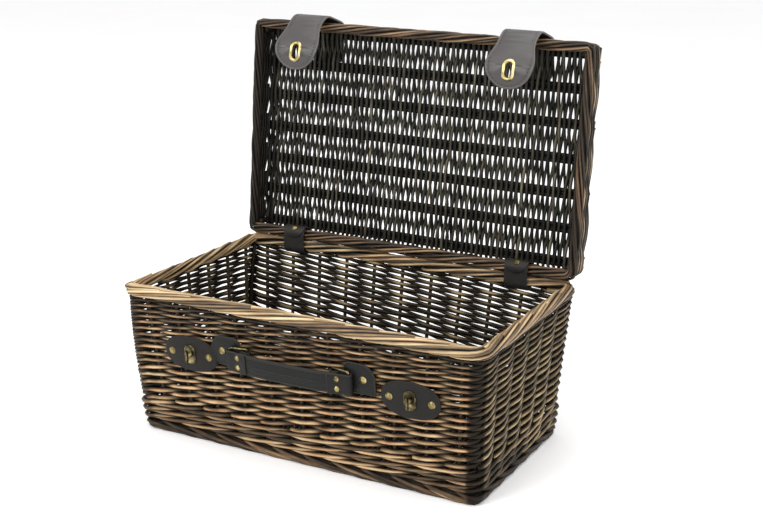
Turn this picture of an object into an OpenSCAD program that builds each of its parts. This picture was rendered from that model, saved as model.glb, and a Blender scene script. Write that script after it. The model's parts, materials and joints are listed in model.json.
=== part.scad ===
// Wicker picnic basket with a hinged woven lid, leather straps, turn locks and a swinging handle.
// Modelled with the lid open. X is across the front, -Y is the front, +Z is up, the floor is Z = 0.

/* [Basket] */
// Outside width over the top border
basket_w = 460; // [380:5:560]
// Outside depth over the top border
basket_d = 272; // [220:2:320]
// Height of the top border's crown above the floor
basket_h = 186; // [140:1:240]
// Outside width over the foot border
foot_w = 436; // [360:2:540]
// Outside depth over the foot border
foot_d = 230; // [190:2:300]
// Diameter of the rolled top border
border_dia = 16; // [10:0.5:22]
// Diameter of the plaited foot border
foot_dia = 15; // [10:0.5:22]

/* [Weave] */
// Height of the heavy three-rod band above the foot
upsett_h = 26; // [16:1:40]
// Thickness of the solid middle of a woven wall
wall_core = 7.6; // [6:0.2:10]
// How far each row of weavers stands out of a woven wall
wall_bump = 1.2; // [0.6:0.1:2]
// Height of one round of weavers
row_pitch = 8.6; // [5:0.1:14]
// Number of stakes in the front and in the back
stakes_long = 11; // [7:1:19]
// Number of stakes in each end
stakes_short = 6; // [4:1:12]
// Diameter of a stake
stake_dia = 4.4; // [3:0.1:5]
// Radial room between a stake and the weave around it
stake_room = 0.15; // [0.1:0.05:0.3]
// Radius of a corner post
post_r = 4.4; // [3:0.1:6]
// Thickness of the woven bottom
base_t = 7; // [6:0.2:10]

/* [Lid] */
// Length of the lid from its back border to its front border
lid_l = 280; // [220:2:330]
// Diameter of the lid's border
lid_border_dia = 14; // [10:0.5:20]
// Height of the lid above the middle of its border
lid_depth = 35.5; // [28:0.5:60]
// How much each side of the lid leans in towards the top
lid_inset = 4; // [0:0.5:10]
// Thickness of the lid's woven panel
lid_panel_t = 9; // [8:0.2:12]
// Spacing of the weavers across the lid
lid_pitch = 6.7; // [5:0.1:10]
// Number of paired sticks under the lid's weave
lid_pairs = 7; // [4:1:10]
// Diameter of a lid stick
lid_stick_dia = 5; // [4:0.1:5.4]
// Opening angle of the lid, which the leather loops stop
lid_open = 95; // [85:1:110]

/* [Leather] */
// Thickness of the strap leather
leather_t = 2.6; // [2:0.1:3.4]
// Distance of each closing strap from the middle
strap_x = 142; // [100:1:180]
// Width of a closing strap where it crosses the border
strap_w = 46; // [30:1:60]
// Widest part of a closing strap's tongue
tongue_w = 60; // [40:1:80]
// Length of the strap from the lid's border to its bend
neck_l = 47.1; // [40:0.1:60]
// Length of the tongue from the bend to its round end
tongue_l = 57; // [45:0.5:75]
// Distance from the bend to the middle of the eyelet
eyelet_at = 35; // [25:0.5:45]
// How far the neck of the strap droops below straight
neck_droop = 4; // [0:0.5:8]
// Distance of each hinge loop from the middle
loop_x = 155; // [110:1:190]
// Width of a hinge loop
loop_w = 30; // [20:1:40]

/* [Locks] */
// Height of the latch plates' middle
latch_z = 114; // [80:1:140]
// Length of a latch plate
plate_w = 71; // [50:1:90]
// Height of a latch plate
plate_h = 44; // [30:1:60]
// Spacing of a latch plate's two rivets
plate_rivets = 51; // [36:1:64]
// Length of a turn knob's crossbar
bar_l = 15; // [12:0.5:16]
// Width of a turn knob's crossbar
bar_w = 4.6; // [3:0.2:6]
// Width of the slot in an eyelet
slot_w = 8; // [6:0.2:10]
// Length of the slot in an eyelet
slot_l = 17.4; // [15:0.2:20]

/* [Handle] */
// Sideways position of the handle's middle
handle_x = -6; // [-20:1:20]
// Height of the handle's middle
handle_z = 121; // [90:1:150]
// Half the distance between the two tab folds
tab_half = 55; // [40:1:80]
// Distance between the two long bars of a ring
ring_l = 22; // [18:0.5:30]
// Clear height inside a ring
ring_h = 26; // [20:0.5:34]
// Thickness of the ring wire
wire_dia = 3; // [2:0.2:4]
// How far the middle of the strap bows away from the basket
handle_bow = 7; // [0:0.5:15]

/* [Hidden] */
$fn = 48;

willow = [0.45, 0.30, 0.17];
willow_light = [0.62, 0.45, 0.26];
willow_dark = [0.13, 0.10, 0.08];
leather = [0.14, 0.13, 0.13];
brass = [0.62, 0.50, 0.26];

border_r = border_dia / 2;
foot_r = foot_dia / 2;
foot_z = foot_r - 1;
top_x = basket_w / 2 - border_r;
top_y = basket_d / 2 - border_r;
top_z = basket_h - border_r;
bot_x = foot_w / 2 - foot_r;
bot_y = foot_d / 2 - foot_r;
wall_half = wall_core / 2 + wall_bump;
upsett_z0 = foot_z + foot_r + 0.3;
upsett_z1 = upsett_z0 + upsett_h;
weave_z0 = upsett_z1 + 0.3;
weave_z1 = top_z - border_r - 0.3;
tilt_long = atan((top_y - bot_y) / (top_z - foot_z));
tilt_short = atan((top_x - bot_x) / (top_z - foot_z));

lid_r = lid_border_dia / 2;
hinge_y = top_y;
hinge_z = top_z + border_r + 0.3 + lid_r;
lid_hx = basket_w / 2 - lid_r;
lid_hy = lid_l / 2 - lid_r;
panel_z = lid_depth - lid_panel_t / 2;
skirt_z0 = lid_r + 0.2;
skirt_z1 = lid_depth - lid_panel_t - 0.3;
skirt_half = 3.4;

root_y = -2 * lid_hy - lid_r - 0.35 - leather_t / 2;
loop_in = border_r + 0.4;
loop_out = loop_in + 2.2;
skin = wall_half + 0.3;
plate_top = skin + leather_t;
tab_t = 2.4;
fold_in = wire_dia / 2 + 0.4;
fold_out = fold_in + 2.2;
fold_h = skin + fold_out;
pocket_in = wire_dia / 2 + 0.8;
pocket_out = pocket_in + 2.2;
strap_h = skin + tab_t + 0.35 + pocket_out;
ring_rest = asin((strap_h - fold_h) / ring_l);
ring_out = ring_l * cos(ring_rest);
pocket_l = 6.8;
strap_half = ring_h / 2 - 0.6;

// Half width and half depth of the walls' middle surface at height z.
function wall_x(z) = bot_x + (top_x - bot_x) * (z - foot_z) / (top_z - foot_z);
function wall_y(z) = bot_y + (top_y - bot_y) * (z - foot_z) / (top_z - foot_z);

// Outline of a row of n rounded ribs of pitch p on both faces of a core c thick, each b high.
function ribs(n, p, c, b, m = 4) = concat(
  [for (i = [0 : n * m]) [p * (i / m - n / 2), c / 2 + b * abs(sin(180 * i / m))]],
  [for (i = [n * m : -1 : 0]) [p * (i / m - n / 2), -c / 2 - b * abs(sin(180 * i / m))]]);

// A straight round rod between two points of one plane.
module rod(a, b, r) {
  d = b - a;
  translate([a[0], a[1], 0])
    rotate([0, 0, -atan2(d[0], d[1])])
      rotate([-90, 0, 0])
        cylinder(h = norm(d), r = r);
}

// Local frame of a wall: X along it, Y up along it, Z outwards. Side 0 is the front, 1 the right.
module wall_frame(side, off, z, tilt) {
  rotate([0, 0, 90 * side])
    translate([0, -off, z])
      rotate([90 + tilt, 0, 0])
        children();
}

// A ribbed slab between heights v0 and v1 whose half width runs from w0 to w1.
module slab(v0, v1, w0, w1, core, bump, rows) {
  intersection() {
    translate([0, (v0 + v1) / 2, 0])
      rotate([90, 0, 90])
        linear_extrude(2 * max(w0, w1) + 4, center = true)
          polygon(ribs(rows, (v1 - v0) / rows, core, bump));
    linear_extrude(40, center = true)
      polygon([[-w0, v0 - 0.5], [w0, v0 - 0.5], [w1, v1 + 0.5], [-w1, v1 + 0.5]]);
  }
}

// Four straight rods mitred into a rectangle, as separate solids.
module rod_frame(hx, hy, r, gap = 0.15) {
  for (s = [-1, 1]) {
    intersection() {
      translate([-hx - r, s * hy, 0]) rotate([0, 90, 0]) cylinder(h = 2 * (hx + r), r = r);
      linear_extrude(4 * r, center = true)
        polygon([[-hx - r + gap, s * (hy + r)], [hx + r - gap, s * (hy + r)],
          [hx - r - gap, s * (hy - r)], [-hx + r + gap, s * (hy - r)]]);
    }
    intersection() {
      translate([s * hx, -hy - r, 0]) rotate([-90, 0, 0]) cylinder(h = 2 * (hy + r), r = r);
      linear_extrude(4 * r, center = true)
        polygon([[s * (hx + r), -hy - r + gap], [s * (hx + r), hy + r - gap],
          [s * (hx - r), hy - r - gap], [s * (hx - r), -hy + r + gap]]);
    }
  }
}

// Positions of the stakes of one wall at height z, as fractions of its half width.
function stake_at(i, n) = (2 * i - (n - 1)) / n;

module wall_stakes(side, z0, z1, r) {
  long = side % 2 == 0;
  n = long ? stakes_long : stakes_short;
  tilt = long ? tilt_long : tilt_short;
  off = long ? wall_y(z0) : wall_x(z0);
  w0 = long ? wall_x(z0) : wall_y(z0);
  w1 = long ? wall_x(z1) : wall_y(z1);
  wall_frame(side, off, z0, tilt)
    for (i = [0 : n - 1])
      rod([w0 * stake_at(i, n), 0], [w1 * stake_at(i, n), (z1 - z0) / cos(tilt)], r);
}

module wall_slab(side, z0, z1, core, bump, rows) {
  long = side % 2 == 0;
  tilt = long ? tilt_long : tilt_short;
  off = long ? wall_y(z0) : wall_x(z0);
  gap = core / 2 + bump + 0.3;
  w0 = (long ? wall_x(z0) : wall_y(z0)) - gap;
  w1 = (long ? wall_x(z1) : wall_y(z1)) - gap;
  wall_frame(side, off, z0, tilt)
    slab(0, (z1 - z0) / cos(tilt), w0, w1, core, bump, rows);
}

// Room for the two hinge loops in what they pass through.
module loop_room(y, z) {
  for (s = [-1, 1])
    translate([s * loop_x, y, z]) cube([loop_w + 1, 60, 2 * loop_out + 4.5], center = true);
}

module stakes(side) {
  color(willow_dark)
    difference() {
      wall_stakes(side, upsett_z0 + 0.5, weave_z1 - 0.5, stake_dia / 2);
      if (side == 2) loop_room(top_y, top_z);
    }
}

module weave(side) {
  color(willow)
    difference() {
      wall_slab(side, weave_z0, weave_z1, wall_core, wall_bump, round((weave_z1 - weave_z0) / row_pitch));
      wall_stakes(side, upsett_z0 - 5, weave_z1 + 5, stake_dia / 2 + stake_room);
      if (side == 2) loop_room(top_y, top_z);
    }
}

module upsett() {
  color(willow)
    for (side = [0 : 3])
      difference() {
        wall_slab(side, upsett_z0, upsett_z1, wall_core + 1.2, wall_bump + 0.4, 3);
        wall_stakes(side, upsett_z0 - 5, weave_z1 + 5, stake_dia / 2 + stake_room);
      }
}

module foot_border() {
  color(willow_light)
    intersection() {
      translate([0, 0, foot_z]) rod_frame(bot_x, bot_y, foot_r);
      translate([0, 0, 20]) cube([2 * foot_w, 2 * foot_d, 40], center = true);
    }
}

module top_border() {
  color(willow_light)
    translate([0, 0, top_z]) rod_frame(top_x, top_y, border_r);
}

module corner_posts() {
  z0 = upsett_z0 + 0.3;
  z1 = weave_z1 - 0.3;
  h = z1 - z0;
  dx = wall_x(z1) - wall_x(z0);
  dy = wall_y(z1) - wall_y(z0);
  color(willow_dark)
    for (sx = [-1, 1], sy = [-1, 1])
      translate([sx * wall_x(z0), sy * wall_y(z0), z0])
        rotate([0, atan(norm([dx, dy]) / h), atan2(sy * dy, sx * dx)])
          cylinder(h = norm([dx, dy, h]), r = post_r);
}

// A woven panel lying flat, with its weavers along Y and its sticks along X.
module panel(hx, hy, core, bump, n, ys, r) {
  difference() {
    rotate([90, 0, 0])
      linear_extrude(2 * hy, center = true)
        polygon(ribs(n, 2 * hx / n, core, bump));
    panel_sticks(hx + 5, ys, r + stake_room);
  }
}

module panel_sticks(hx, ys, r) {
  for (y = ys)
    translate([-hx, y, 0]) rotate([0, 90, 0]) cylinder(h = 2 * hx, r = r);
}

base_hx = bot_x - foot_r - 0.3;
base_hy = bot_y - foot_r - 0.3;
base_ys = [for (i = [-2 : 2]) i * 38];

// The bottom is flat underneath, where the basket stands, and ribbed inside.
module base_weave() {
  color(willow) {
    translate([0, 0, base_t / 2])
      panel(base_hx, base_hy, base_t - 0.6, 0.3, 70, base_ys, 2);
    translate([-base_hx, -base_hy, 0]) cube([2 * base_hx, 2 * base_hy, 1]);
  }
}

module base_sticks() {
  color(willow_dark)
    translate([0, 0, base_t / 2]) panel_sticks(base_hx - 0.5, base_ys, 2);
}

// The lid's own frame: hinge line at the origin, front towards -Y, top towards +Z when closed.
module lid_frame() {
  translate([0, hinge_y, hinge_z]) rotate([-lid_open, 0, 0]) children();
}

module lid_border() {
  color(willow_light)
    lid_frame() translate([0, -lid_hy, 0]) rod_frame(lid_hx, lid_hy, lid_r);
}

lean = -atan(lid_inset / lid_depth);

module lid_skirt(side) {
  long = side % 2 == 0;
  in0 = lid_inset * skirt_z0 / lid_depth;
  in1 = lid_inset * skirt_z1 / lid_depth;
  off = (long ? lid_hy : lid_hx) - in0;
  w0 = (long ? lid_hx : lid_hy) - in0 - 4.8;
  w1 = (long ? lid_hx : lid_hy) - in1 - 4.8;
  color(willow)
    lid_frame()
      difference() {
        translate([0, -lid_hy, 0])
          wall_frame(side, off, skirt_z0, lean)
            slab(0, (skirt_z1 - skirt_z0) / cos(lean), w0, w1, 2 * skirt_half - 2, 1, 4);
        if (side == 2) loop_room(0, 0);
      }
}

module lid_corner_posts() {
  z0 = skirt_z0 + 0.3;
  color(willow_dark)
    lid_frame()
      translate([0, -lid_hy, 0])
        for (sx = [-1, 1], sy = [-1, 1])
          translate([sx * (lid_hx - lid_inset / 2 - 0.4), sy * (lid_hy - lid_inset / 2 - 0.4), z0])
            cylinder(h = skirt_z1 - z0 - 0.3, r = 3);
}

panel_hx = lid_hx - lid_inset + skirt_half;
panel_hy = lid_hy - lid_inset + skirt_half;
pair_step = (2 * panel_hy - 16.4) / (lid_pairs - 1);
lid_ys = [for (i = [0 : lid_pairs - 1], s = [-3.4, 3.4]) pair_step * (i - (lid_pairs - 1) / 2) + s];

module lid_weave() {
  color(willow)
    lid_frame() translate([0, -lid_hy, panel_z])
      panel(panel_hx, panel_hy, lid_panel_t - 1.4, 0.7, round(2 * panel_hx / lid_pitch), lid_ys,
        lid_stick_dia / 2);
}

module lid_sticks() {
  color(willow_dark)
    lid_frame() translate([0, -lid_hy, panel_z])
      panel_sticks(panel_hx - 0.5, lid_ys, lid_stick_dia / 2);
}

// A thick line through the points of p, as a polygon of half thickness h.
function side_of(p, i, h) =
  let (a = p[max(i - 1, 0)], b = p[min(i + 1, len(p) - 1)], d = (b - a) / norm(b - a))
  [p[i][0] - h * d[1], p[i][1] + h * d[0]];
function band(p, h) = concat([for (i = [0 : len(p) - 1]) side_of(p, i, h)],
  [for (i = [len(p) - 1 : -1 : 0]) side_of(p, i, -h)]);

anchor_rivet_y = root_y + 38;
anchor_top = lid_depth + 0.3 + leather_t / 2;

// The part of a closing strap that is riveted to the lid: over its top and down its front.
module strap_anchor(s) {
  run = [[root_y + 54, anchor_top], [root_y + 9, anchor_top], [root_y + 5.6, anchor_top - 0.8],
    [root_y + 3.8, anchor_top - 3.4], [root_y, 2]];
  color(leather)
    lid_frame()
      difference() {
        translate([s * strap_x, 0, 0])
          rotate([90, 0, 90]) linear_extrude(strap_w, center = true) polygon(band(run, leather_t / 2));
        for (dx = [-12, 12])
          translate([s * strap_x + dx, anchor_rivet_y, lid_depth]) cylinder(h = 8, r = 2);
      }
}

// Domed rivet of head radius r on a face at Z = 0, with a shank l long below it.
module rivet(r, l, rise = 1.7) {
  ball = (r * r + rise * rise) / (2 * rise);
  intersection() {
    translate([0, 0, rise - ball]) sphere(r = ball);
    cylinder(h = 2 * rise, r = r);
  }
  translate([0, 0, -l]) cylinder(h = l + rise / 2, r = 1.8);
}

module anchor_rivets() {
  color(brass)
    lid_frame()
      for (s = [-1, 1], dx = [-12, 12])
        translate([s * strap_x + dx, anchor_rivet_y, anchor_top + leather_t / 2 + 0.05])
          rivet(4, leather_t - 0.1);
}

// Frame of a strap's neck: Y runs along the strap away from the lid, Z towards the basket.
module neck_frame(s) {
  lid_frame() translate([s * strap_x, root_y, 0]) rotate([neck_droop - 90, 0, 0]) children();
}

// Frame of a strap's tongue, which hangs plumb from the bend when the lid is open.
module tongue_frame(s) {
  lid_frame()
    translate([s * strap_x, root_y + neck_l * sin(neck_droop), -neck_l * cos(neck_droop)])
      rotate([lid_open - 90, 0, 0])
        children();
}

module strap_neck(s) {
  color(leather)
    neck_frame(s) {
      rotate([0, 90, 0]) cylinder(h = strap_w, r = leather_t / 2, center = true);
      linear_extrude(leather_t, center = true)
        polygon([[-strap_w / 2, 0], [strap_w / 2, 0],
          [strap_w / 2 + 1, neck_l - 1.8], [-strap_w / 2 - 1, neck_l - 1.8]]);
    }
}

// Half width of the tongue at distance t below the bend, for t up to the round end's middle.
function tongue_half(t) =
  let (k = min(1, max(0, t / (tongue_l - tongue_w / 2))))
  strap_w / 2 + 1 + (tongue_w / 2 - strap_w / 2 - 1) * k * k * (3 - 2 * k);

module tongue_outline() {
  m = 12;
  c = tongue_l - tongue_w / 2;
  intersection() {
    translate([0, c]) circle(r = tongue_w / 2, $fn = 96);
    translate([-tongue_w, 0]) square(2 * tongue_w);
  }
  polygon(concat([for (i = [0 : m]) [tongue_half(c * i / m), c * i / m]],
    [for (i = [m : -1 : 0]) [-tongue_half(c * i / m), c * i / m]]));
}

// A flat oval with straight sides, w wide and l long.
module long_oval(w, l) {
  for (s = [-1, 1])
    translate([0, s * (l - w) / 2]) circle(r = w / 2);
  square([w, l - w], center = true);
}

module strap_tongue(s) {
  color(leather)
    tongue_frame(s) {
      rotate([0, 90, 0]) cylinder(h = strap_w + 2, r = leather_t / 2, center = true);
      linear_extrude(leather_t, center = true)
        difference() {
          tongue_outline();
          translate([0, eyelet_at]) square([slot_w + 3, slot_l + 3], center = true);
        }
    }
}

module eyelet(s) {
  color(brass)
    tongue_frame(s)
      translate([0, eyelet_at, 0])
        difference() {
          union() {
            cube([slot_w + 2.6, slot_l + 2.6, leather_t + 0.8], center = true);
            for (f = [-1, 1])
              translate([0, 0, f * (leather_t / 2 + 0.3)])
                linear_extrude(0.5, center = true) long_oval(slot_w + 10, slot_l + 7.5);
          }
          cube([slot_w, slot_l, 20], center = true);
        }
}

// Frame on the front wall at height z: X to the right, Y up the wall, Z straight out of it.
module on_front(x, z) {
  translate([x, -wall_y(z), z]) rotate([90 + tilt_long, 0, 0]) children();
}

// Ellipse w wide and h high, as a many-sided outline.
module ellipse(w, h, n = 72) {
  polygon([for (i = [0 : n - 1]) [w / 2 * cos(360 * i / n), h / 2 * sin(360 * i / n)]]);
}

module latch_plate(s) {
  color(leather)
    on_front(s * strap_x, latch_z)
      difference() {
        translate([0, 0, skin]) linear_extrude(leather_t) ellipse(plate_w, plate_h);
        for (d = [-1, 1])
          translate([d * plate_rivets / 2, 0, skin - 1]) cylinder(h = leather_t + 2, r = 2);
      }
}

module latch_rivets() {
  color(brass)
    for (s = [-1, 1], d = [-1, 1])
      on_front(s * strap_x + d * plate_rivets / 2, latch_z)
        translate([0, 0, plate_top + 0.05]) rivet(4.4, leather_t - 0.1);
}

lock_z = plate_top + 0.2;

module lock_base(s) {
  color(brass)
    on_front(s * strap_x, latch_z)
      difference() {
        translate([0, 0, lock_z]) linear_extrude(1.1) long_oval(14.5, 24);
        translate([0, 0, lock_z - 1]) cylinder(h = 4, r = 2.9);
      }
}

// Turn knob: a stem through the eyelet's slot with a crossbar that stands upright to let it pass.
module lock_knob(s) {
  color(brass)
    on_front(s * strap_x, latch_z) {
      translate([0, 0, lock_z + 0.1]) cylinder(h = 6.5, r = 2.55);
      translate([0, 0, lock_z + 5.9])
        linear_extrude(4)
          long_oval(bar_w, bar_l);
    }
}

// The handle's parts use one frame in the middle of the handle. s is -1 on the left, 1 on the right.
module handle_frame() {
  on_front(handle_x, handle_z) children();
}

tab_l = 51;
tab_low = -12.2;
tab_high = 24;
tab_rivet = [36.5, 5.5];

module tab_outline() {
  r = 17;
  difference() {
    union() {
      translate([tab_l - r, tab_high - r]) circle(r = r, $fn = 64);
      translate([13, tab_low]) square([tab_l - 13, tab_high - tab_low - r]);
      translate([20, tab_low]) square([tab_l - 20 - r, tab_high - tab_low]);
      translate([20, tab_high - 7]) circle(r = 7);
      translate([13, tab_high - r - 1]) square([20, r - 6]);
      translate([0, tab_low]) square([20, 24.4]);
    }
    translate(tab_rivet) circle(r = 2);
  }
}

// Leather tab, folded at its inner end around the inner bar of its ring.
module handle_tab(s) {
  color(leather)
    handle_frame()
      mirror([s < 0 ? 1 : 0, 0, 0])
        translate([tab_half, 0, 0])
          difference() {
            union() {
              translate([0, 0, skin]) linear_extrude(tab_t) tab_outline();
              translate([0, tab_low, fold_h]) rotate([-90, 0, 0]) cylinder(h = 24.4, r = fold_out);
            }
            translate([0, tab_low - 1, fold_h]) rotate([-90, 0, 0]) cylinder(h = 30, r = fold_in);
            if (s < 0)
              translate([strap_x + handle_x - tab_half, latch_z - handle_z, 0])
                linear_extrude(20) ellipse(plate_w + 0.8, plate_h + 0.8);
          }
}

module tab_rivets() {
  color(brass)
    handle_frame()
      for (s = [-1, 1])
        translate([s * (tab_half + tab_rivet[0]), tab_rivet[1], skin + tab_t + 0.05])
          rivet(4.4, tab_t - 0.1);
}

// Wire ring folded back over its tab: the outer long bar lies in the strap's end fold.
module handle_ring(s) {
  h = ring_h + wire_dia;
  color(brass)
    handle_frame()
      mirror([s < 0 ? 1 : 0, 0, 0])
        translate([tab_half, 0, fold_h])
          rotate([0, -ring_rest, 0]) {
            for (x = [0, ring_l])
              translate([x, -h / 2 - wire_dia / 2, 0])
                rotate([-90, 0, 0]) cylinder(h = h + wire_dia, r = wire_dia / 2);
            for (y = [-h / 2, h / 2])
              translate([0, y, 0]) rotate([0, 90, 0]) cylinder(h = ring_l, r = wire_dia / 2 - 0.15);
          }
}

bar_x = tab_half + ring_out;
strap_mid_x = bar_x - pocket_l - 2;

// Height of the strap's middle line above its ends at distance x from the middle.
function bow(x) = handle_bow * max(0, 1 - pow(x / strap_mid_x, 4));

// Long straight-sided hole or bar across the handle, from x0 to x1 along it.
module cross_slot(x0, x1, r, l) {
  for (x = [x0, x1])
    translate([x, 0, 0]) rotate([90, 0, 0]) cylinder(h = l, r = r, center = true);
  translate([(x0 + x1) / 2, 0, 0]) cube([abs(x1 - x0), l, 2 * r], center = true);
}

module handle_strap() {
  m = 24;
  run = [for (i = [-m : m]) [strap_mid_x * i / m, bow(strap_mid_x * i / m)]];
  color(leather)
    handle_frame()
      translate([0, 0, strap_h])
        difference() {
          union() {
            rotate([90, 0, 0]) linear_extrude(2 * strap_half, center = true) polygon(band(run, 2.2));
            for (s = [-1, 1])
              cross_slot(s * bar_x, s * (bar_x - pocket_l - 3.4), pocket_out, 2 * strap_half);
          }
          for (s = [-1, 1])
            cross_slot(s * bar_x, s * (bar_x - pocket_l), pocket_in, 2 * strap_half + 2);
          for (s = [-1, 1], y = [-6, 6])
            translate([s * handle_rivet_x, y, -10]) cylinder(h = 20, r = 1.95);
        }
}

handle_rivet_x = bar_x - pocket_l - 6.2;

module handle_rivets() {
  color(brass)
    handle_frame()
      for (s = [-1, 1], y = [-6, 6])
        translate([s * handle_rivet_x, y, strap_h + bow(handle_rivet_x - 3.6) + 2.4])
          rivet(3.6, 2 * pocket_out - 1, 1.5);
}

// Leather band around the basket's back border and the lid's back border.
module hinge_loop(s) {
  color(leather)
    translate([s * loop_x, top_y, top_z])
      rotate([90, 0, 90])
        linear_extrude(loop_w, center = true)
          difference() {
            loop_outline(loop_out);
            loop_outline(loop_in);
          }
}

module loop_outline(r) {
  circle(r = r);
  translate([0, hinge_z - top_z]) circle(r = r);
  translate([-r, 0]) square([2 * r, hinge_z - top_z]);
}

module hinge_studs() {
  color(brass)
    for (s = [-1, 1])
      translate([s * loop_x, hinge_y, hinge_z])
        rotate([35, 0, 0])
          translate([0, 0, loop_out + 0.15])
            intersection() {
              translate([0, 0, -4]) sphere(r = 5.8);
              cylinder(h = 4, r = 3.6);
            }
}

foot_border();
base_weave();
base_sticks();
upsett();
weave(0);  // front_weave
weave(1);  // right_weave
weave(2);  // back_weave
weave(3);  // left_weave
stakes(0);  // front_stakes
stakes(1);  // right_stakes
stakes(2);  // back_stakes
stakes(3);  // left_stakes
corner_posts();
top_border();
latch_plate(-1);  // latch_plate_left
latch_plate(1);  // latch_plate_right
latch_rivets();
lock_base(-1);  // lock_base_left
lock_base(1);  // lock_base_right
handle_tab(-1);  // handle_tab_left
handle_tab(1);  // handle_tab_right
tab_rivets();
hinge_loop(-1);  // hinge_loop_left
hinge_loop(1);  // hinge_loop_right
hinge_studs();
lid_border();
lid_skirt(0);  // lid_front_skirt
lid_skirt(1);  // lid_right_skirt
lid_skirt(2);  // lid_back_skirt
lid_skirt(3);  // lid_left_skirt
lid_corner_posts();
lid_weave();
lid_sticks();
strap_anchor(-1);  // strap_anchor_left
strap_anchor(1);  // strap_anchor_right
anchor_rivets();
strap_neck(-1);  // strap_neck_left
strap_neck(1);  // strap_neck_right
strap_tongue(-1);  // strap_tongue_left
strap_tongue(1);  // strap_tongue_right
eyelet(-1);  // eyelet_left
eyelet(1);  // eyelet_right
lock_knob(-1);  // lock_knob_left
lock_knob(1);  // lock_knob_right
handle_strap();
handle_rivets();
handle_ring(-1);  // handle_ring_left
handle_ring(1);  // handle_ring_right
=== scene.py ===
"""Looks of a wicker picnic basket with leather straps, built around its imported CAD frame."""

import json
import math

import bmesh
import bpy
import numpy as np
from mathutils import Matrix, Vector


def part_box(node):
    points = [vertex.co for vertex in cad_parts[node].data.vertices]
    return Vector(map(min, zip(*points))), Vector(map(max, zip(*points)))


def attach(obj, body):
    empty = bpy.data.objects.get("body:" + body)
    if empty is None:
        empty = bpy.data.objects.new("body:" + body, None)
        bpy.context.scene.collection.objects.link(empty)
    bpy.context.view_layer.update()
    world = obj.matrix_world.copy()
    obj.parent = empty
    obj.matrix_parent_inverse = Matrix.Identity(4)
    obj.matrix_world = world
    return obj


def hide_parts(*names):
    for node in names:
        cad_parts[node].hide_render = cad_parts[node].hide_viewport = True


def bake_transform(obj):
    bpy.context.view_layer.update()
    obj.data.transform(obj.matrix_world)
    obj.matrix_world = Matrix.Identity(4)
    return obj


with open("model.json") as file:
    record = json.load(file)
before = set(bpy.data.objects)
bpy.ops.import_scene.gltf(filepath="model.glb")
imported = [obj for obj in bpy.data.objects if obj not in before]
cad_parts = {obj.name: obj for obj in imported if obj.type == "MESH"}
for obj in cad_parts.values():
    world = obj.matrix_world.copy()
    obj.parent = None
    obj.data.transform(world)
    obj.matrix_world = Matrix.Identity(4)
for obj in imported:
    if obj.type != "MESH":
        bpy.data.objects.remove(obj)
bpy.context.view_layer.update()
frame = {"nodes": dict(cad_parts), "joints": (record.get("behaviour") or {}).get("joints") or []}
rng = np.random.default_rng(7)
JOINTS = {j["name"]: j for j in frame["joints"]}
MM = 0.001

# ---- places, from the CAD frame
top_lo, top_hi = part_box("top_border")
foot_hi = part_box("foot_border")[1]
BORDER_R = (top_hi.z - top_lo.z) / 2
FOOT_R = 7.5 * MM
TOP = top_hi - Vector((BORDER_R, BORDER_R, BORDER_R))
FOOT = foot_hi - Vector((FOOT_R, FOOT_R, FOOT_R))
LONG, SHORT = 11, 6
STAKE_R = 2.2 * MM
UPSETT_Z = (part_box("upsett")[0].z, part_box("upsett")[1].z)
WEAVE_Z = (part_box("front_weave")[0].z + 0.5 * MM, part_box("front_weave")[1].z)

HINGE = Vector(JOINTS["lid_hinge"]["pos_m"])
OPEN = JOINTS["lid_hinge"]["range_deg"][1]
LID = Matrix.Translation(HINGE) @ Matrix.Rotation(math.radians(-OPEN), 4, "X")
LID_R = 7 * MM
LID_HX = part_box("lid_border")[1].x - LID_R
LID_HY = 133 * MM
LID_DEPTH = 35.5 * MM
LID_INSET = -2 * MM
PANEL_Z = 31 * MM
PANEL_HX, PANEL_HY = LID_HX + 1.2 * MM, LID_HY - 0.6 * MM
PAIRS, PAIR_STEP = 7, 41.4 * MM

SPREAD_X, SPREAD_Y, RISE = (t - f for t, f in zip(TOP, FOOT))
TILT = math.atan(SPREAD_Y / RISE)
SKIN = 5.3 * MM
LID_TURN = np.array(LID.to_3x3()).T
LID_UP = np.array([0, 0, 1.0]) @ LID_TURN
SIDES = ((-1, "left"), (1, "right"))


def on_front(x, z):
    """Frame on the front wall: X to the right, Y up the wall, Z straight out of it."""
    y = FOOT.y + SPREAD_Y * (z - FOOT.z) / RISE
    return Matrix.Translation((x, -y, z)) @ Matrix.Rotation(math.pi / 2 + TILT, 4, "X")


# ---- small helpers
def unit(v):
    """Rows scaled to length 1."""
    return v / (np.linalg.norm(v, axis=1)[:, None] + 1e-12)


def rows(*parts):
    """Points from their coordinates. A single number is repeated."""
    return np.stack(np.broadcast_arrays(*parts), -1)


def lengths(path):
    """Distance along a path at each of its points."""
    return np.concatenate([[0], np.cumsum(np.linalg.norm(np.diff(path, axis=0), axis=1))])


def quads(a, b, n):
    """Faces between two rings of n points that start at a and b."""
    return [[a + k, a + (k + 1) % n, b + (k + 1) % n, b + k] for k in range(n)]


def to_world(matrix, points):
    m = np.array(matrix)
    return np.asarray(points, float) @ m[:3, :3].T + m[:3, 3]


def smooth_step(x):
    x = np.clip(x, 0, 1)
    return x * x * (3 - 2 * x)


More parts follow.
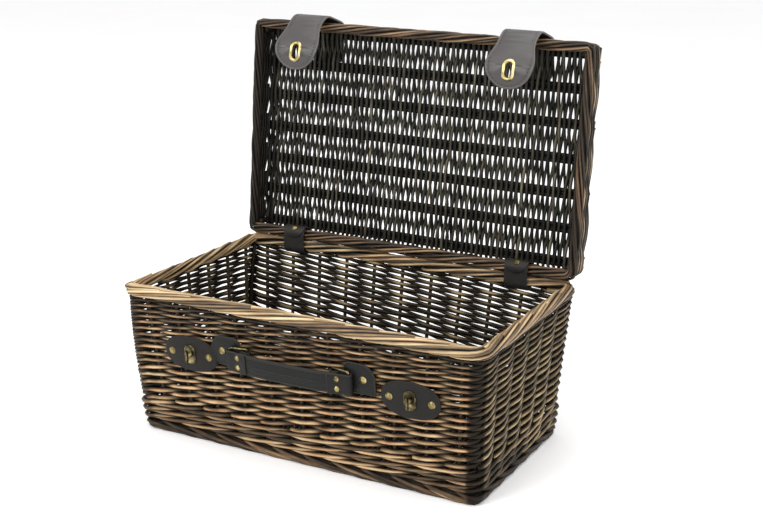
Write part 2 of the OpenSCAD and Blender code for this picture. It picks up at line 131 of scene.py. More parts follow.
# ---- materials
class Nodes:
    """A material and short ways to wire its nodes."""

    def __init__(self, name):
        self.mat = bpy.data.materials.new(name)
        self.mat.use_nodes = True
        self.tree = self.mat.node_tree
        self.shader = self.tree.nodes["Principled BSDF"]

    def add(self, kind, inputs=(), **props):
        node = self.tree.nodes.new(kind)
        for k, v in props.items():
            setattr(node, k, v)
        for k, v in dict(inputs).items():
            self.put(v, node.inputs[k])
        return node

    def put(self, value, socket):
        if isinstance(value, bpy.types.NodeSocket):
            self.tree.links.new(value, socket)
        else:
            socket.default_value = value

    def math(self, op, a, b=0.0, clamp=False):
        return self.add("ShaderNodeMath", {0: a, 1: b}, operation=op, use_clamp=clamp).outputs[0]

    def scaled(self, value, factor, offset, clamp=False):
        """value * factor + offset."""
        return self.math("ADD", self.math("MULTIPLY", value, factor), offset, clamp)

    def place(self):
        return self.add("ShaderNodeTexCoord").outputs["Object"]

    def ramp(self, value, stops):
        node = self.add("ShaderNodeValToRGB", {0: value})
        ramp = node.color_ramp
        while len(ramp.elements) < len(stops):
            ramp.elements.new(0.5)
        for e, (at, colour) in zip(ramp.elements, stops):
            e.position = at
            e.color = (*colour, 1)
        return node.outputs[0]

    def mix(self, fac, a, b, kind="MIX"):
        node = self.add("ShaderNodeMix", data_type="RGBA", blend_type=kind)
        self.put(fac, node.inputs[0])
        self.put(a, node.inputs[6])
        self.put(b, node.inputs[7])
        return node.outputs[2]

    def noise(self, vector, scale, detail=3.0, rough=0.55):
        return self.add("ShaderNodeTexNoise", {"Vector": vector, "Scale": scale, "Detail": detail,
                                               "Roughness": rough}).outputs["Fac"]

    def stretch(self, vector, scale):
        return self.add("ShaderNodeMapping", {"Vector": vector, "Scale": scale}).outputs[0]

    def attribute(self, name):
        return self.add("ShaderNodeAttribute", attribute_name=name).outputs["Vector"]

    def bump(self, height, strength, distance, normal=None):
        node = self.add("ShaderNodeBump", {"Height": height, "Strength": strength, "Distance": distance})
        if normal is not None:
            self.put(normal, node.inputs["Normal"])
        return node.outputs[0]

    def finish(self, **sockets):
        for k, v in sockets.items():
            self.put(v, self.shader.inputs[k.replace("_", " ")])
        return self.mat


STAIN = [(0.0, (0.010, 0.006, 0.0028)), (0.22, (0.026, 0.0165, 0.0075)), (0.45, (0.098, 0.060, 0.028)),
         (0.70, (0.32, 0.205, 0.10)), (1.0, (0.56, 0.41, 0.235))]
PALE = [(0.0, (0.008, 0.007, 0.006)), (0.22, (0.035, 0.025, 0.016)), (0.45, (0.17, 0.105, 0.055)),
        (0.70, (0.44, 0.29, 0.155)), (1.0, (0.70, 0.53, 0.33))]
GREYED = [(0.0, (0.006, 0.0055, 0.0045)), (0.22, (0.020, 0.017, 0.012)), (0.45, (0.085, 0.068, 0.046)),
          (0.70, (0.27, 0.205, 0.13)), (1.0, (0.52, 0.40, 0.27))]


def woven_willow(name, stops, rough=0.5, patch=0.75):
    """Stained rods whose high spots are rubbed back to the bark's tan, with grain along each rod. The tint's
    second channel also brings in painted light and shade, and hue an olive cast that is partly painted
    light.
    """
    n = Nodes(name)
    tone, wear_and_light, hue = n.add("ShaderNodeSeparateXYZ", {0: n.attribute("tint")}).outputs
    shift = n.add("ShaderNodeCombineXYZ", {0: n.math("MULTIPLY", tone, 37.0)}).outputs[0]
    place = n.add("ShaderNodeVectorMath", {0: n.attribute("grain"), 1: shift}, operation="ADD").outputs[0]
    streak = n.noise(n.stretch(place, (45, 2.4, 2.4)), 1.6, 4.0)
    blotch = n.noise(n.stretch(place, (38, 0.5, 0.5)), 1.0, 2.0)
    russet = n.noise(n.stretch(place, (60, 0.8, 0.8)), 1.0, 2.0)
    russet = n.ramp(russet, [(0.40, (0, 0, 0)), (0.60, (1, 1, 1))])
    # The second tint channel is wear and painted light and shade together; the ramp turns both into colour.
    ramp_pos = n.math("MULTIPLY", wear_and_light, n.scaled(tone, 0.55, 0.62))
    ramp_pos = n.math("ADD", ramp_pos, n.scaled(streak, 0.42, -0.5 * 0.42))
    ramp_pos = n.math("ADD", ramp_pos, n.scaled(blotch, patch, -0.55 * patch), clamp=True)
    colour = n.ramp(ramp_pos, stops)
    warm = n.mix(1.0, colour, (1.0, 0.76, 0.62, 1), "MULTIPLY")
    colour = n.mix(n.math("MULTIPLY", russet, n.scaled(hue, -0.75, 0.85), clamp=True), colour, warm)
    # hue: an olive cast, random per rod and partly painted light on the basket's ends and the rods' inner
    # humps.
    olive = n.mix(1.0, colour, (0.80, 0.90, 0.84, 1), "MULTIPLY")
    return n.finish(Base_Color=n.mix(hue, colour, olive), Roughness=n.scaled(streak, 0.25, rough - 0.12),
                    Normal=n.bump(streak, 0.35, 0.0004), Specular_IOR_Level=n.scaled(ramp_pos, 0.38, 0.15))


def stake_willow(name):
    """Dark stained stakes and sticks of the CAD model, with bark streaks along them."""
    n = Nodes(name)
    place = n.place()
    streak = n.noise(n.stretch(place, (420, 420, 60)), 1.0, 3.0)
    blotch = n.noise(place, 42.0, 3.0)
    ramp_pos = n.scaled(streak, 0.2, n.math("MULTIPLY", blotch, 0.12), clamp=True)
    return n.finish(Base_Color=n.ramp(ramp_pos, STAIN), Roughness=n.scaled(blotch, 0.3, 0.4),
                    Normal=n.bump(streak, 0.4, 0.0004), Specular_IOR_Level=0.35)


def satin_leather(name, dark, worn, rough=0.42, gloss=0.5):
    """Dyed leather with pores and creases, paler along its cut edges."""
    n = Nodes(name)
    edge = n.add("ShaderNodeSeparateXYZ", {0: n.attribute("skin")}).outputs[2]
    place = n.place()
    pores = n.add("ShaderNodeTexVoronoi", {"Vector": place, "Scale": 900.0}, feature="DISTANCE_TO_EDGE")
    pores = n.math("MULTIPLY", pores.outputs[0], 4.0, clamp=True)
    crease = n.noise(place, 140.0, 5.0, 0.6)
    cloud = n.math("MULTIPLY", n.noise(place, 26.0, 3.0), 0.9, clamp=True)
    colour = n.mix(cloud, (*dark, 1), (*[c * 1.5 for c in dark], 1))
    rim = n.math("MULTIPLY", edge, n.scaled(crease, 0.8, 0.2), clamp=True)
    relief = n.bump(crease, 0.25, 0.0006, n.bump(pores, 0.22, 0.00025))
    return n.finish(Base_Color=n.mix(rim, colour, (*worn, 1)), Normal=relief,
                    Roughness=n.scaled(crease, 0.22, rough - 0.1), Specular_IOR_Level=gloss)


def antique_brass(name, stops):
    """Worn brass with dark patina in blotches and fine scratches."""
    n = Nodes(name)
    place = n.place()
    patina = n.noise(place, 130.0, 3.0, 0.5)
    scratch = n.noise(n.stretch(place, (1500, 300, 900)), 1.0, 2.0)
    return n.finish(Base_Color=n.ramp(patina, stops), Metallic=1.0, Roughness=n.scaled(patina, -0.25, 0.46),
                    Normal=n.bump(scratch, 0.15, 0.0002, n.bump(patina, 0.25, 0.0004)))


def waxed_thread(name):
    """Dull dark thread with a fine twist."""
    n = Nodes(name)
    twist = n.noise(n.place(), 1600.0, 2.0)
    colour = n.ramp(twist, [(0.3, (0.008, 0.007, 0.007)), (0.7, (0.035, 0.032, 0.03))])
    return n.finish(Base_Color=colour, Roughness=0.7, Normal=n.bump(twist, 0.4, 0.0003))


BODY_WILLOW = woven_willow("body_willow", STAIN)
BORDER_WILLOW = woven_willow("border_willow", PALE, 0.46, 0.35)
LID_WILLOW = woven_willow("lid_willow", GREYED, 0.46)
STAKE = stake_willow("stake_willow")
LEATHER = satin_leather("black_leather", (0.0055, 0.0056, 0.0052), (0.045, 0.040, 0.034), 0.48, 0.19)
PLATE_LEATHER = satin_leather("plate_leather", (0.0038, 0.0036, 0.0034), (0.038, 0.033, 0.028), 0.5, 0.13)
STRAP_LEATHER = satin_leather("strap_leather", (0.036, 0.032, 0.031), (0.15, 0.13, 0.115), 0.40)
BRASS = antique_brass("antique_brass", [(0.30, (0.014, 0.012, 0.007)), (0.46, (0.055, 0.045, 0.022)),
                                        (0.62, (0.17, 0.14, 0.068)), (0.8, (0.45, 0.37, 0.20))])
RIVET_BRASS = antique_brass("rivet_brass", [(0.30, (0.05, 0.038, 0.014)), (0.46, (0.18, 0.142, 0.055)),
                                            (0.62, (0.38, 0.31, 0.13)), (0.8, (0.62, 0.53, 0.28))])
BRIGHT_BRASS = antique_brass("eyelet_brass", [(0.30, (0.20, 0.15, 0.06)), (0.46, (0.46, 0.37, 0.16)),
                                              (0.62, (0.68, 0.57, 0.28)), (0.8, (0.85, 0.76, 0.46))])
THREAD = waxed_thread("waxed_thread")


# ---- mesh building
def new_object(name, co, faces, mat, body, attributes=None):
    mesh = bpy.data.meshes.new(name)
    mesh.from_pydata([tuple(c) for c in np.asarray(co, float).tolist()], [], faces)
    for key, values in (attributes or {}).items():
        layer = mesh.attributes.new(key, "FLOAT_VECTOR", "POINT")
        layer.data.foreach_set("vector", np.asarray(values, np.float32).ravel())
    mesh.polygons.foreach_set("use_smooth", [True] * len(mesh.polygons))
    mesh.materials.append(mat)
    obj = bpy.data.objects.new(name, mesh)
    bpy.context.scene.collection.objects.link(obj)
    if body:
        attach(obj, body)
    return obj


class Strands:
    """Round rods gathered into one mesh. Every point knows its rod's tone and how light it is drawn: wear
    and painted light together.
    """

    def __init__(self):
        self.co, self.faces, self.grain, self.tint, self.count = [], [], [], [], 0

    def rod(self, path, radius, out, tone=0.5, wear_and_light=0.5, hue=0.0, sides=7, shade=0.75, inner=0.0):
        """A rod along path. out is the way that is drawn lightest, partly wear and partly a painted
        highlight, shade is how much painted shade darkens the other sides, and inner is a painted highlight
        on the side facing away."""
        path, out = np.asarray(path, float), np.asarray(out, float)
        m, base = len(path), self.count
        tangent = unit(np.gradient(path, axis=0))
        up = unit(out - tangent * np.sum(out * tangent, axis=1)[:, None])
        side = np.cross(tangent, up)
        angle = np.arange(sides) * 2 * math.pi / sides
        ca, sa = np.cos(angle), np.sin(angle)
        radius, wear_and_light, hue, inner = (np.broadcast_to(v, (m,))[:, None] for v in (radius, wear_and_light, hue, inner))
        ring = (up[:, None] * ca[:, None] + side[:, None] * sa[:, None]) * radius[:, None]
        self.co.append((path[:, None] + ring).reshape(-1, 3))
        self.grain.append(rows(lengths(path)[:, None], ca, sa).reshape(-1, 3))
        # Painted highlight towards out, painted shade on the other sides, and a painted highlight from inner
        # on the side facing away.
        ring_wear_and_light = wear_and_light * ((1 - shade) + shade * np.clip(ca, 0, 1) ** 2) + inner * np.clip(-ca, 0, 1)
        self.tint.append(rows(tone, ring_wear_and_light, hue).reshape(-1, 3))
        i, j = np.arange(m - 1)[:, None] * sides + base, np.arange(sides)
        k = (j + 1) % sides
        self.faces += rows(i + j, i + k, i + k + sides, i + j + sides).reshape(-1, 4).tolist()
        self.faces.append(list(range(base + sides - 1, base - 1, -1)))
        self.faces.append(list(range(base + (m - 1) * sides, base + m * sides)))
        self.count += m * sides

    def plain(self, name, mat, body, attributes=None):
        return new_object(name, np.concatenate(self.co), self.faces, mat, body, attributes)

    def object(self, name, mat, body, slot):
        return self.plain(name, mat, body,
                          {"grain": np.concatenate(self.grain), "tint": np.concatenate(self.tint)})


class Loop:
    """A rectangle with cut corners, walked anticlockwise from the front left. long and short are the
    number of units along a side, and a side's first stake is at a whole number. cuts are how far each
    corner is cut back: front left, front right, back right and back left."""

    DIRS = np.array([(1, 0), (0, 1), (-1, 0), (0, -1)], float)
    ENDS = np.array([(1, -1), (1, 1), (-1, 1), (-1, -1)], float)

    def __init__(self, long, short, cuts):
        self.starts = np.cumsum([0, long, short, long])
        self.counts = np.array([long, short, long, short], float)
        self.total = 2 * (long + short)
        self.cuts = np.array(cuts) * MM

    def at(self, s, hx, hy):
        """Points, outward directions and distances from the nearest corner, for half sizes hx and hy."""
        m = np.mod(np.asarray(s, float) + 0.5, self.total)
        side = np.clip(np.searchsorted(self.starts, m, "right") - 1, 0, 3)
        size = rows(hx, hy, 0 * m)[:, :2]
        length = 2 * np.where(side % 2 == 0, size[:, 0], size[:, 1])
        d = length * (m - self.starts[side]) / self.counts[side]
        tangent = self.DIRS[side]
        point = self.ENDS[side - 1] * size + tangent * d[:, None]
        for leaving in (0, 1):
            cut = self.cuts[side if leaving else (side + 1) % 4]
            near = (d if leaving else length - d) < cut
            c = cut[near][:, None]
            k = side[near] - leaving
            a, b = self.DIRS[k] * c, self.DIRS[(k + 1) % 4] * c
            corner = self.ENDS[k] * size[near]
            t = (c + (d if leaving else d - length)[near][:, None]) / (2 * c)
            r = 1 - t
            p0, p1, p2, p3 = corner - a, corner - a / 2, corner + b / 2, corner + b
            point[near] = r ** 3 * p0 + 3 * t * r ** 2 * p1 + 3 * t * t * r * p2 + t ** 3 * p3
            tangent[near] = unit(3 * r ** 2 * (p1 - p0) + 6 * t * r * (p2 - p1) + 3 * t * t * (p3 - p2))
        return point, rows(tangent[:, 1], -tangent[:, 0]), np.minimum(d, length - d)


LEFT_SPREAD = 5 * MM
SWELL_LEFT, SWELL_BACK = 4.5, 3.0  # millimetres round the left corners and the back right one


def on_wall(loop, s, z, off, swell_by=1.0):
    """World points at stake position s, height z and distance off out of the body's walls. They swell round
    all posts but the front right one, by the share swell_by, and the left wall bulges a little."""
    f = (z - FOOT.z) / RISE
    point, out, near = loop.at(s, FOOT.x + SPREAD_X * f, FOOT.y + SPREAD_Y * f)
    lean = np.abs(out) @ np.array([SPREAD_X / RISE, SPREAD_Y / RISE])
    out3 = unit(np.column_stack([out, -lean]))
    base = np.column_stack([point, z])
    base[:, 0] -= LEFT_SPREAD * (1 - f) * (1 + 4 * f) * np.clip(-point[:, 0] / FOOT.x, 0, 1)
    swell = np.where(point[:, 0] < 0, SWELL_LEFT, np.where(point[:, 1] > 0, SWELL_BACK, 0.0)) * MM * swell_by
    off = np.asarray(off) + swell * smooth_step(1 - near / (15 * MM))
    return base + out3 * off[:, None], out3, near


def on_lid(loop, s, z, off):
    """World points around the lid, at height z above its border's middle and off out of its sides, and
    their outward directions."""
    inset_by = LID_INSET * z / LID_DEPTH
    point, out, _ = loop.at(s, LID_HX - inset_by, LID_HY - inset_by)
    local = np.column_stack([point + out * np.asarray(off)[:, None], z])
    local[:, 1] -= LID_HY
    return to_world(LID, local), np.column_stack([out, 0 * z]) @ LID_TURN


def bend_wave(n, sharp=0.93):
    """1 at even n and -1 at odd n, with a fairly sharp bend at each stake."""
    return np.arcsin(sharp * np.cos(math.pi * n)) / math.asin(sharp)


def painted_side_tint(out):
    """Painted light: rods on the ends of the basket are tinted more olive than on its front, where the light
    falls differently.
    """
    return np.clip(np.abs(out[:, 0]), 0, 1) * 0.95


def corner_shade(path, near, start, tone=0.0):
    """Painted shade close to a corner: much deeper at the front right one, where the rods sit in a dark
    band.
    """
    deep = np.where((path[:, 0] > 0) & (path[:, 1] < 0), 0.92 - 0.35 * tone ** 3, 0.35)
    return 1 - deep * (1 - smooth_step((near - start) / (3 * MM)))


# ---- the woven body
BODY_LOOP = Loop(LONG, SHORT, (3, 11, 4, 4))
FOOT_LOOP = Loop(LONG, SHORT, (3, 4, 4, 4))
ROD_STEP = 27.0  # millimetres of border between the rods of a rolled border


def body_weave():
    """Randing in which each rod starts at its own stake and climbs one level at every stake."""
    strands = Strands()
    levels, ratio = 32, 0.62
    height = WEAVE_Z[1] + 3.6 * MM - WEAVE_Z[0]

    def rise(n):
        return height * (1 - ratio ** (n / levels)) / (1 - ratio)

    for k in range(BODY_LOOP.total):
        n = np.arange(-0.4, levels - 0.55, 0.1)
        pitch = rise(n + 0.5) - rise(n - 0.5)
        tone = rng.random()
        radius = 0.5 * pitch * (0.95 + 0.17 * rng.random()) * (1 - 0.07 * np.cos(math.pi * n) ** 2)
        z = WEAVE_Z[0] + rise(n + 0.5)
        z = z + 0.45 * MM * np.sin(1.3 * n + 9 * tone) + 0.38 * MM * np.sin(3.1 * n + 20 * rng.random())
        wave = bend_wave(n)
        jolt = 1 + 0.10 * np.sin(2.3 * n + 17 * tone)
        off = (STAKE_R + radius) * wave * jolt
        radius = radius * (1 + 0.24 * smooth_step(-wave))
        path, out, near = on_wall(BODY_LOOP, k + n, z, off)
        seen = np.clip(-out[:, 1], 0, 1) + np.clip(out[:, 0], 0, 1)
        path[:, 2] += 0.24 * off * np.clip(seen, 0, 1)
        wear_and_light = smooth_step(0.62 + 0.72 * wave) * (1.04 - 0.30 * (z - WEAVE_Z[0]) / height)
        wear_and_light *= 0.88 + 0.24 * np.sin(5.1 * n + 31 * tone) ** 2
        # Painted shade at the corners and, a little, on the right wall.
        wear_and_light *= corner_shade(path, near, 7 * MM, tone) * (1 - 0.08 * np.clip(out[:, 0], 0, 1))
        # Painted shadow under the top border: the rows just below it darken.
        wear_and_light *= 1 - 0.65 * smooth_step((z - TOP.z + 18 * MM) / (10 * MM))
        # Olive cast: painted light on the ends and on the inner humps, random per rod elsewhere.
        hue = np.maximum(painted_side_tint(out), np.where(wave < 0, 1.0, 0.6 * rng.random() ** 2))
        # inner: a painted highlight on the rods' inner side, seen inside the basket.
        strands.rod(path, radius, out, 0.75 * tone + 0.25 * rng.random(), wear_and_light, hue,
                    inner=0.80 * smooth_step(-wave) * (0.4 + 0.6 * tone))
    obj = strands.object("woven_walls", BODY_WILLOW, "basket", "willow")
    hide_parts("front_weave", "right_weave", "back_weave", "left_weave")


def waling():
    """Heavy band above the foot: each rod passes two stakes outside and one inside."""
    strands = Strands()
    bands, rod_r = 3, 2.35 * MM
    step = (UPSETT_Z[1] - UPSETT_Z[0]) / bands
    keys = np.array([-1.0, -0.5, 0.0, 0.5, 1.0, 1.5, 2.0])
    reach = STAKE_R + rod_r
    offs = np.array([-1.0, 0.25, 1.12, 1.15, 1.0, 0.1, -1.0]) * reach
    lift = np.array([-0.30, -0.27, -0.20, -0.04, 0.14, 0.26, 0.34]) * step
    s = np.arange(-0.9, 1.91, 0.06)
    off = np.convolve(np.pad(np.interp(s, keys, offs), 2, "edge"), np.ones(5) / 5, "valid")
    for band in range(bands):
        for i in range(BODY_LOOP.total):
            tone = rng.random()
            wobble = 0.5 * MM * math.sin(20 * tone)
            z = UPSETT_Z[0] + (band + 0.5) * step + np.interp(s, keys, lift) + wobble
            path, out, near = on_wall(BODY_LOOP, i + s, z, off, 0.6)
            wear_and_light = smooth_step(0.3 + off / reach) * (0.64 + 0.34 * tone) * corner_shade(path, near, 7 * MM)
            # Painted shade on the right wall.
            wear_and_light *= 1 - 0.20 * np.clip(out[:, 0], 0, 1)
            strands.rod(path, rod_r * (0.92 + 0.14 * rng.random()), out, tone, wear_and_light,
                        0.25 + 0.6 * painted_side_tint(out))
    obj = strands.object("waling", BODY_WILLOW, "basket", "willow")
    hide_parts("upsett")


def foot_plait():
    """Foot border: the stake ends turned down and laid over one another, two rods at a time."""
    strands = Strands()
    keys = np.array([-0.2, 0.05, 0.5, 1.0, 1.5, 1.8])
    offs = np.array([-1.0, 4.2, 6.0, 5.6, 4.2, -1.0]) * MM
    drop = np.array([13.4, 12.2, 9.4, 6.4, 3.6, 2.8]) * MM
    s = np.arange(-0.2, 1.81, 0.1)
    for i in range(BODY_LOOP.total):
        for j in range(2):
            tone = rng.random()
            rod_r = (2.25 - 0.2 * j + 0.3 * rng.random()) * MM
            z = np.maximum(np.interp(s, keys, drop) - j * 4.4 * MM, rod_r + 0.1 * MM)
            off = np.interp(s, keys, offs) - j * 0.8 * MM
            path, out, near = on_wall(FOOT_LOOP, i + s + 0.1 * j, z, off, 0.3)
            path[:, 2] = np.maximum(path[:, 2], rod_r + 0.1 * MM)
            wear_and_light = 0.06 + 0.56 * smooth_step(off / (5 * MM)) * (0.5 + 0.5 * tone)
            # Painted shade at the corners and, deeply, on the right side.
            wear_and_light *= corner_shade(path, near, 5 * MM) * (1 - 0.50 * np.clip(out[:, 0], 0, 1))
            strands.rod(path, rod_r, out, tone, wear_and_light, 0.1 + 0.5 * painted_side_tint(out))
    s = np.arange(0, BODY_LOOP.total + 0.01, 0.25)
    path, out, _ = on_wall(FOOT_LOOP, s, 0 * s + 5.2 * MM, 0 * s - 2 * MM)
    strands.rod(path, 4.6 * MM, out, 0.1, 0.03, 0)
    obj = strands.object("foot_plait", BODY_WILLOW, "basket", "willow_light")
    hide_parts("foot_border")


def rolled_border(place, loop, centre_r, rod_r, turn, phase, caps, hue, side_wear_and_light):
    """Rods that wrap a border on a long slant, turn units long, the unit being a millimetre of border.
    place(s, out, up) gives world points and directions. The four per-side numbers give how light the rods
    are drawn on the
    right, left, front and back: wear, with painted light and shade that differs by side. caps more rods
    start on the top, with their cut ends showing. The border is a little thicker at the back, where the lid
    rests."""
    strands = Strands()
    total = loop.total
    count = int(round(total / ROD_STEP))
    for i in list(range(count)) + list(np.arange(caps) * count / max(caps, 1)):
        tone = rng.random()
        cap = isinstance(i, float)
        span = turn * (0.92 + 0.16 * rng.random()) * (0.5 if cap else 1)
        t = np.linspace(0, 1, 30)
        s = (i + 0.25 * (rng.random() - 0.5)) * total / count + t * span
        angle = np.radians((74 + 144 * t if cap else -78 + 296 * t) + phase + 8 * (rng.random() - 0.5))
        tuck = 1 - 0.35 * (smooth_step(1 - t / 0.06) * (not cap) + smooth_step((t - 0.94) / 0.06))
        if cap:
            tuck, tone = tuck + 0.13, 0.6 + 0.4 * tone
        wall = loop.at(s, 0.2, 0.13)[1]
        r = centre_r * tuck * (1 + 0.05 * np.sin(9 * t + 40 * tone) + 0.1 * (tone - 0.5))
        r = r * (1 + 0.16 * smooth_step(wall[:, 1]))
        path, out = place(s, r * np.cos(angle), r * np.sin(angle))
        radius = rod_r * (0.80 + 0.3 * rng.random()) * (1.06 - 0.22 * t)
        shares = np.stack([wall[:, 0] > 0.7, wall[:, 0] < -0.7, wall[:, 1] < 0, wall[:, 1] > 0]).argmax(0)
        # Per side: wear with painted light and shade.
        wear_and_light = np.array(side_wear_and_light)[shares] * (0.70 + 0.38 * tone) * (0.88 + 0.12 * np.sin(13 * t + 17 * tone))
        strands.rod(path, radius, out, tone, wear_and_light, hue * (0.5 + 0.5 * rng.random()),
                    shade=0.55 if cap else 0.72)
    s = np.linspace(0, total, 160)
    path, out = place(s, 0 * s, 0 * s)
    strands.rod(path, centre_r * 0.72, out, 0.1, 0.03, 0, sides=8)
    return strands


def border_spokes(loop, s, hx, hy, out_by, up_by):
    """Points of a border's middle line at height 0, offsets from them, and the offsets' directions."""
    point, out, _ = loop.at(s, hx, hy)
    spoke = np.column_stack([out * out_by[:, None], up_by])
    length = np.linalg.norm(spoke, axis=1)[:, None]
    return np.column_stack([point, 0 * s]), spoke, np.where(length > 1e-6, unit(spoke), (0, 0, 1.0))


def top_border():
    """The body's rolled top border, drawn out a little at its front left corner."""
    loop = Loop(2 * TOP.x / MM, 2 * TOP.y / MM, (2, 14, 9, 6))

    def place(s, out_by, up_by):
        middle, spoke, way = border_spokes(loop, s, TOP.x, TOP.y, out_by, up_by)
        gap = np.hypot(middle[:, 0] + TOP.x, middle[:, 1] + TOP.y)
        middle[:, 0] -= 6 * MM * smooth_step(1 - gap / (80 * MM))
        return middle + spoke + (0, 0, TOP.z), way

    strands = rolled_border(place, loop, 5.4 * MM, 2.05 * MM, turn=225.0, phase=0, caps=34, hue=0.85,
                            side_wear_and_light=(0.90, 0.78, 1.05, 0.72))
    obj = strands.object("rolled_top_border", BORDER_WILLOW, "basket", "willow_light")
    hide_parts("top_border")


def lid_border():
    """The lid's rolled border, darker than the body's."""
    loop = Loop(2 * LID_HX / MM, 2 * LID_HY / MM, (3, 3, 8, 4))

    def place(s, out_by, up_by):
        middle, spoke, way = border_spokes(loop, s, LID_HX, LID_HY, out_by, up_by)
        return to_world(LID, middle + spoke - (0, LID_HY, 0)), way @ LID_TURN

    strands = rolled_border(place, loop, 4.5 * MM, 2.0 * MM, turn=160.0, phase=185, caps=0, hue=0.3,
                            side_wear_and_light=(0.42, 0.20, 0.62, 0.62))
    obj = strands.object("rolled_lid_border", BORDER_WILLOW, "lid", "willow_light")
    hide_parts("lid_border")


def base_weave():
    """The bottom: thin weavers over and under five sticks."""
    strands = Strands()
    lo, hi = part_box("base_weave")
    count = 126
    y = np.linspace(lo.y + 1 * MM, hi.y - 1 * MM, 44)
    for j in range(count):
        x = lo.x + (j + 0.5) * (hi.x - lo.x) / count + 0.3 * MM * rng.standard_normal()
        wave = bend_wave(y / (38 * MM) + j, 0.9)
        strands.rod(rows(x, y, 4.4 * MM + 2.5 * MM * wave), 1.62 * MM * (0.9 + 0.2 * rng.random()),
                    (0, 0, 1), rng.random(), 0.2 - 0.1 * wave, sides=6)
    for x in (lo.x + 2 * MM, hi.x - 2 * MM):
        strands.rod(rows(x, y, 3.5 * MM), 3.0 * MM, (0, 0, 1), 0.3, 0.1)
    obj = strands.object("woven_base", BODY_WILLOW, "basket", "willow")
    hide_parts("base_weave")


def corner_stakes():
    """Posts inside the body's four corners, with the rods bent round them."""
    strands = Strands()
    z = np.linspace(UPSETT_Z[0], WEAVE_Z[1] + 4 * MM, 12)
    for start in BODY_LOOP.starts:
        path, out, _ = on_wall(BODY_LOOP, 0 * z + start - 0.5, z, 0 * z - 7.5 * MM)
        strands.rod(path, 2.6 * MM, out, 0.1, 0.05, sides=12)
    obj = strands.object("corner_stakes", BODY_WILLOW, "basket", "willow_dark")
    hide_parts("corner_posts")


# ---- the woven lid
def lid_weave():
    """The lid's panel: weavers from back to front over and under pairs of sticks."""
    strands = Strands()
    count, reach = 132, 3.95 * MM
    y = np.linspace(-PANEL_HY, PANEL_HY, 70)
    for j in range(count):
        tone = rng.random()
        x = -PANEL_HX + (j + 0.5) * 2 * PANEL_HX / count + 0.3 * MM * (rng.random() - 0.5)
        drift = 0.45 * MM * (np.sin(y / (31 * MM) + 50 * tone) + np.sin(y / (17 * MM) + 23 * rng.random()))
        wave = np.clip(1.22 * np.cos(math.pi * (y / PAIR_STEP + j + 1)), -1, 1)
        radius = 2.02 * MM * (0.86 + 0.28 * rng.random()) * (1.3 if j < 4 or j > count - 4 else 1)
        radius = radius * (1 + 0.4 * smooth_step((-y - PANEL_HY + 15 * MM) / (5 * MM)))
        wear_and_light = 0.10 + 0.45 * smooth_step(0.3 + wave) * (0.4 + 0.6 * tone) + 0.16 * (rng.random() > 0.75)
        path = to_world(LID, rows(x + drift, y - LID_HY, PANEL_Z + reach * wave))
        # inner: painted highlights on the weavers' inner side, the side seen with the lid open.
        strands.rod(path, radius, LID_UP, tone, wear_and_light, 0.7 + 0.3 * rng.random(), shade=0.62,
                    inner=0.08 + 0.20 * rng.random() + 0.16 * (rng.random() > 0.8))
    obj = strands.object("woven_lid_panel", LID_WILLOW, "lid", "willow")
    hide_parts("lid_weave")


def lid_rods():
    """The lid's doubled sticks, a thinner rod packed into each pair, and the posts in its corners."""
    strands = Strands()
    x = np.linspace(-PANEL_HX, PANEL_HX, 40)
    for k in range(PAIRS):
        y0 = (k - (PAIRS - 1) / 2) * PAIR_STEP - LID_HY
        for dy, r in ((-3.7, 2.75), (0, 1.6), (3.7, 2.75)):
            y = y0 + dy * MM + 0.3 * MM * np.sin(x / (40 * MM) + 7 * rng.random())
            strands.rod(to_world(LID, rows(x, y, PANEL_Z)), r * MM, LID_UP, 0.2, 0.06, sides=9)
    z = np.linspace(2 * MM, PANEL_Z, 6)
    for sx, sy in ((-1, -1), (-1, 1), (1, -1), (1, 1)):
        post = rows(sx * (LID_HX - 8 * MM), sy * (LID_HY - 8 * MM) - LID_HY, z)
        strands.rod(to_world(LID, post), 3.6 * MM, sy * LID_TURN[1], 0.1, 0.05, sides=10)
    obj = strands.object("lid_rods", LID_WILLOW, "lid", "willow_dark")
    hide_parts("lid_sticks", "lid_corner_posts")


def lid_skirts():
    """The lid's woven sides, with their short upright stakes."""
    strands = Strands()
    loop = Loop(LONG, 7, (3, 3, 6, 4))
    z0, z1, levels = 7.4 * MM, 26.4 * MM, 6
    pitch = (z1 - z0) / levels
    rod_r = 0.5 * pitch
    n = np.arange(-0.4, levels - 0.55, 0.1)
    wave = bend_wave(n)
    stake_z = np.linspace(4 * MM, PANEL_Z - 1 * MM, 6)
    for k in range(loop.total):
        tone = rng.random()
        z = z0 + (n + 0.5) * pitch + 0.25 * MM * np.sin(2.1 * n + 30 * tone)
        path, out = on_lid(loop, k + n, z, (1.7 * MM + rod_r) * wave * 0.66)
        # Drawn lighter on the right skirt: painted light.
        wear_and_light = 0.1 + 0.55 * smooth_step(0.4 + 0.8 * wave) * (0.5 + 0.5 * tone) * (1 + 0.4 * (out[:, 0] > 0.7))
        # inner: a faint painted highlight on the side facing in.
        strands.rod(path, rod_r * (1.12 + 0.16 * rng.random()), out, tone, wear_and_light, 0.3 * rng.random(),
                    inner=0.08)
        path, out = on_lid(loop, 0 * stake_z + k, stake_z, 0 * stake_z)
        strands.rod(path, 1.7 * MM, out, tone, 0.15)
    obj = strands.object("woven_lid_sides", LID_WILLOW, "lid", "willow")
    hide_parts("lid_front_skirt", "lid_right_skirt", "lid_back_skirt", "lid_left_skirt")


# ---- leather
def inset(outline, by):
    """A closed outline moved inwards by a distance, point by point."""
    a, b = unit(outline - np.roll(outline, 1, 0)), unit(np.roll(outline, -1, 0) - outline)
    na, nb = rows(-a[:, 1], a[:, 0]), rows(-b[:, 1], b[:, 0])
    mid = unit(na + nb)
    return outline + mid * (by / np.maximum(np.sum(mid * na, axis=1), 0.5))[:, None]


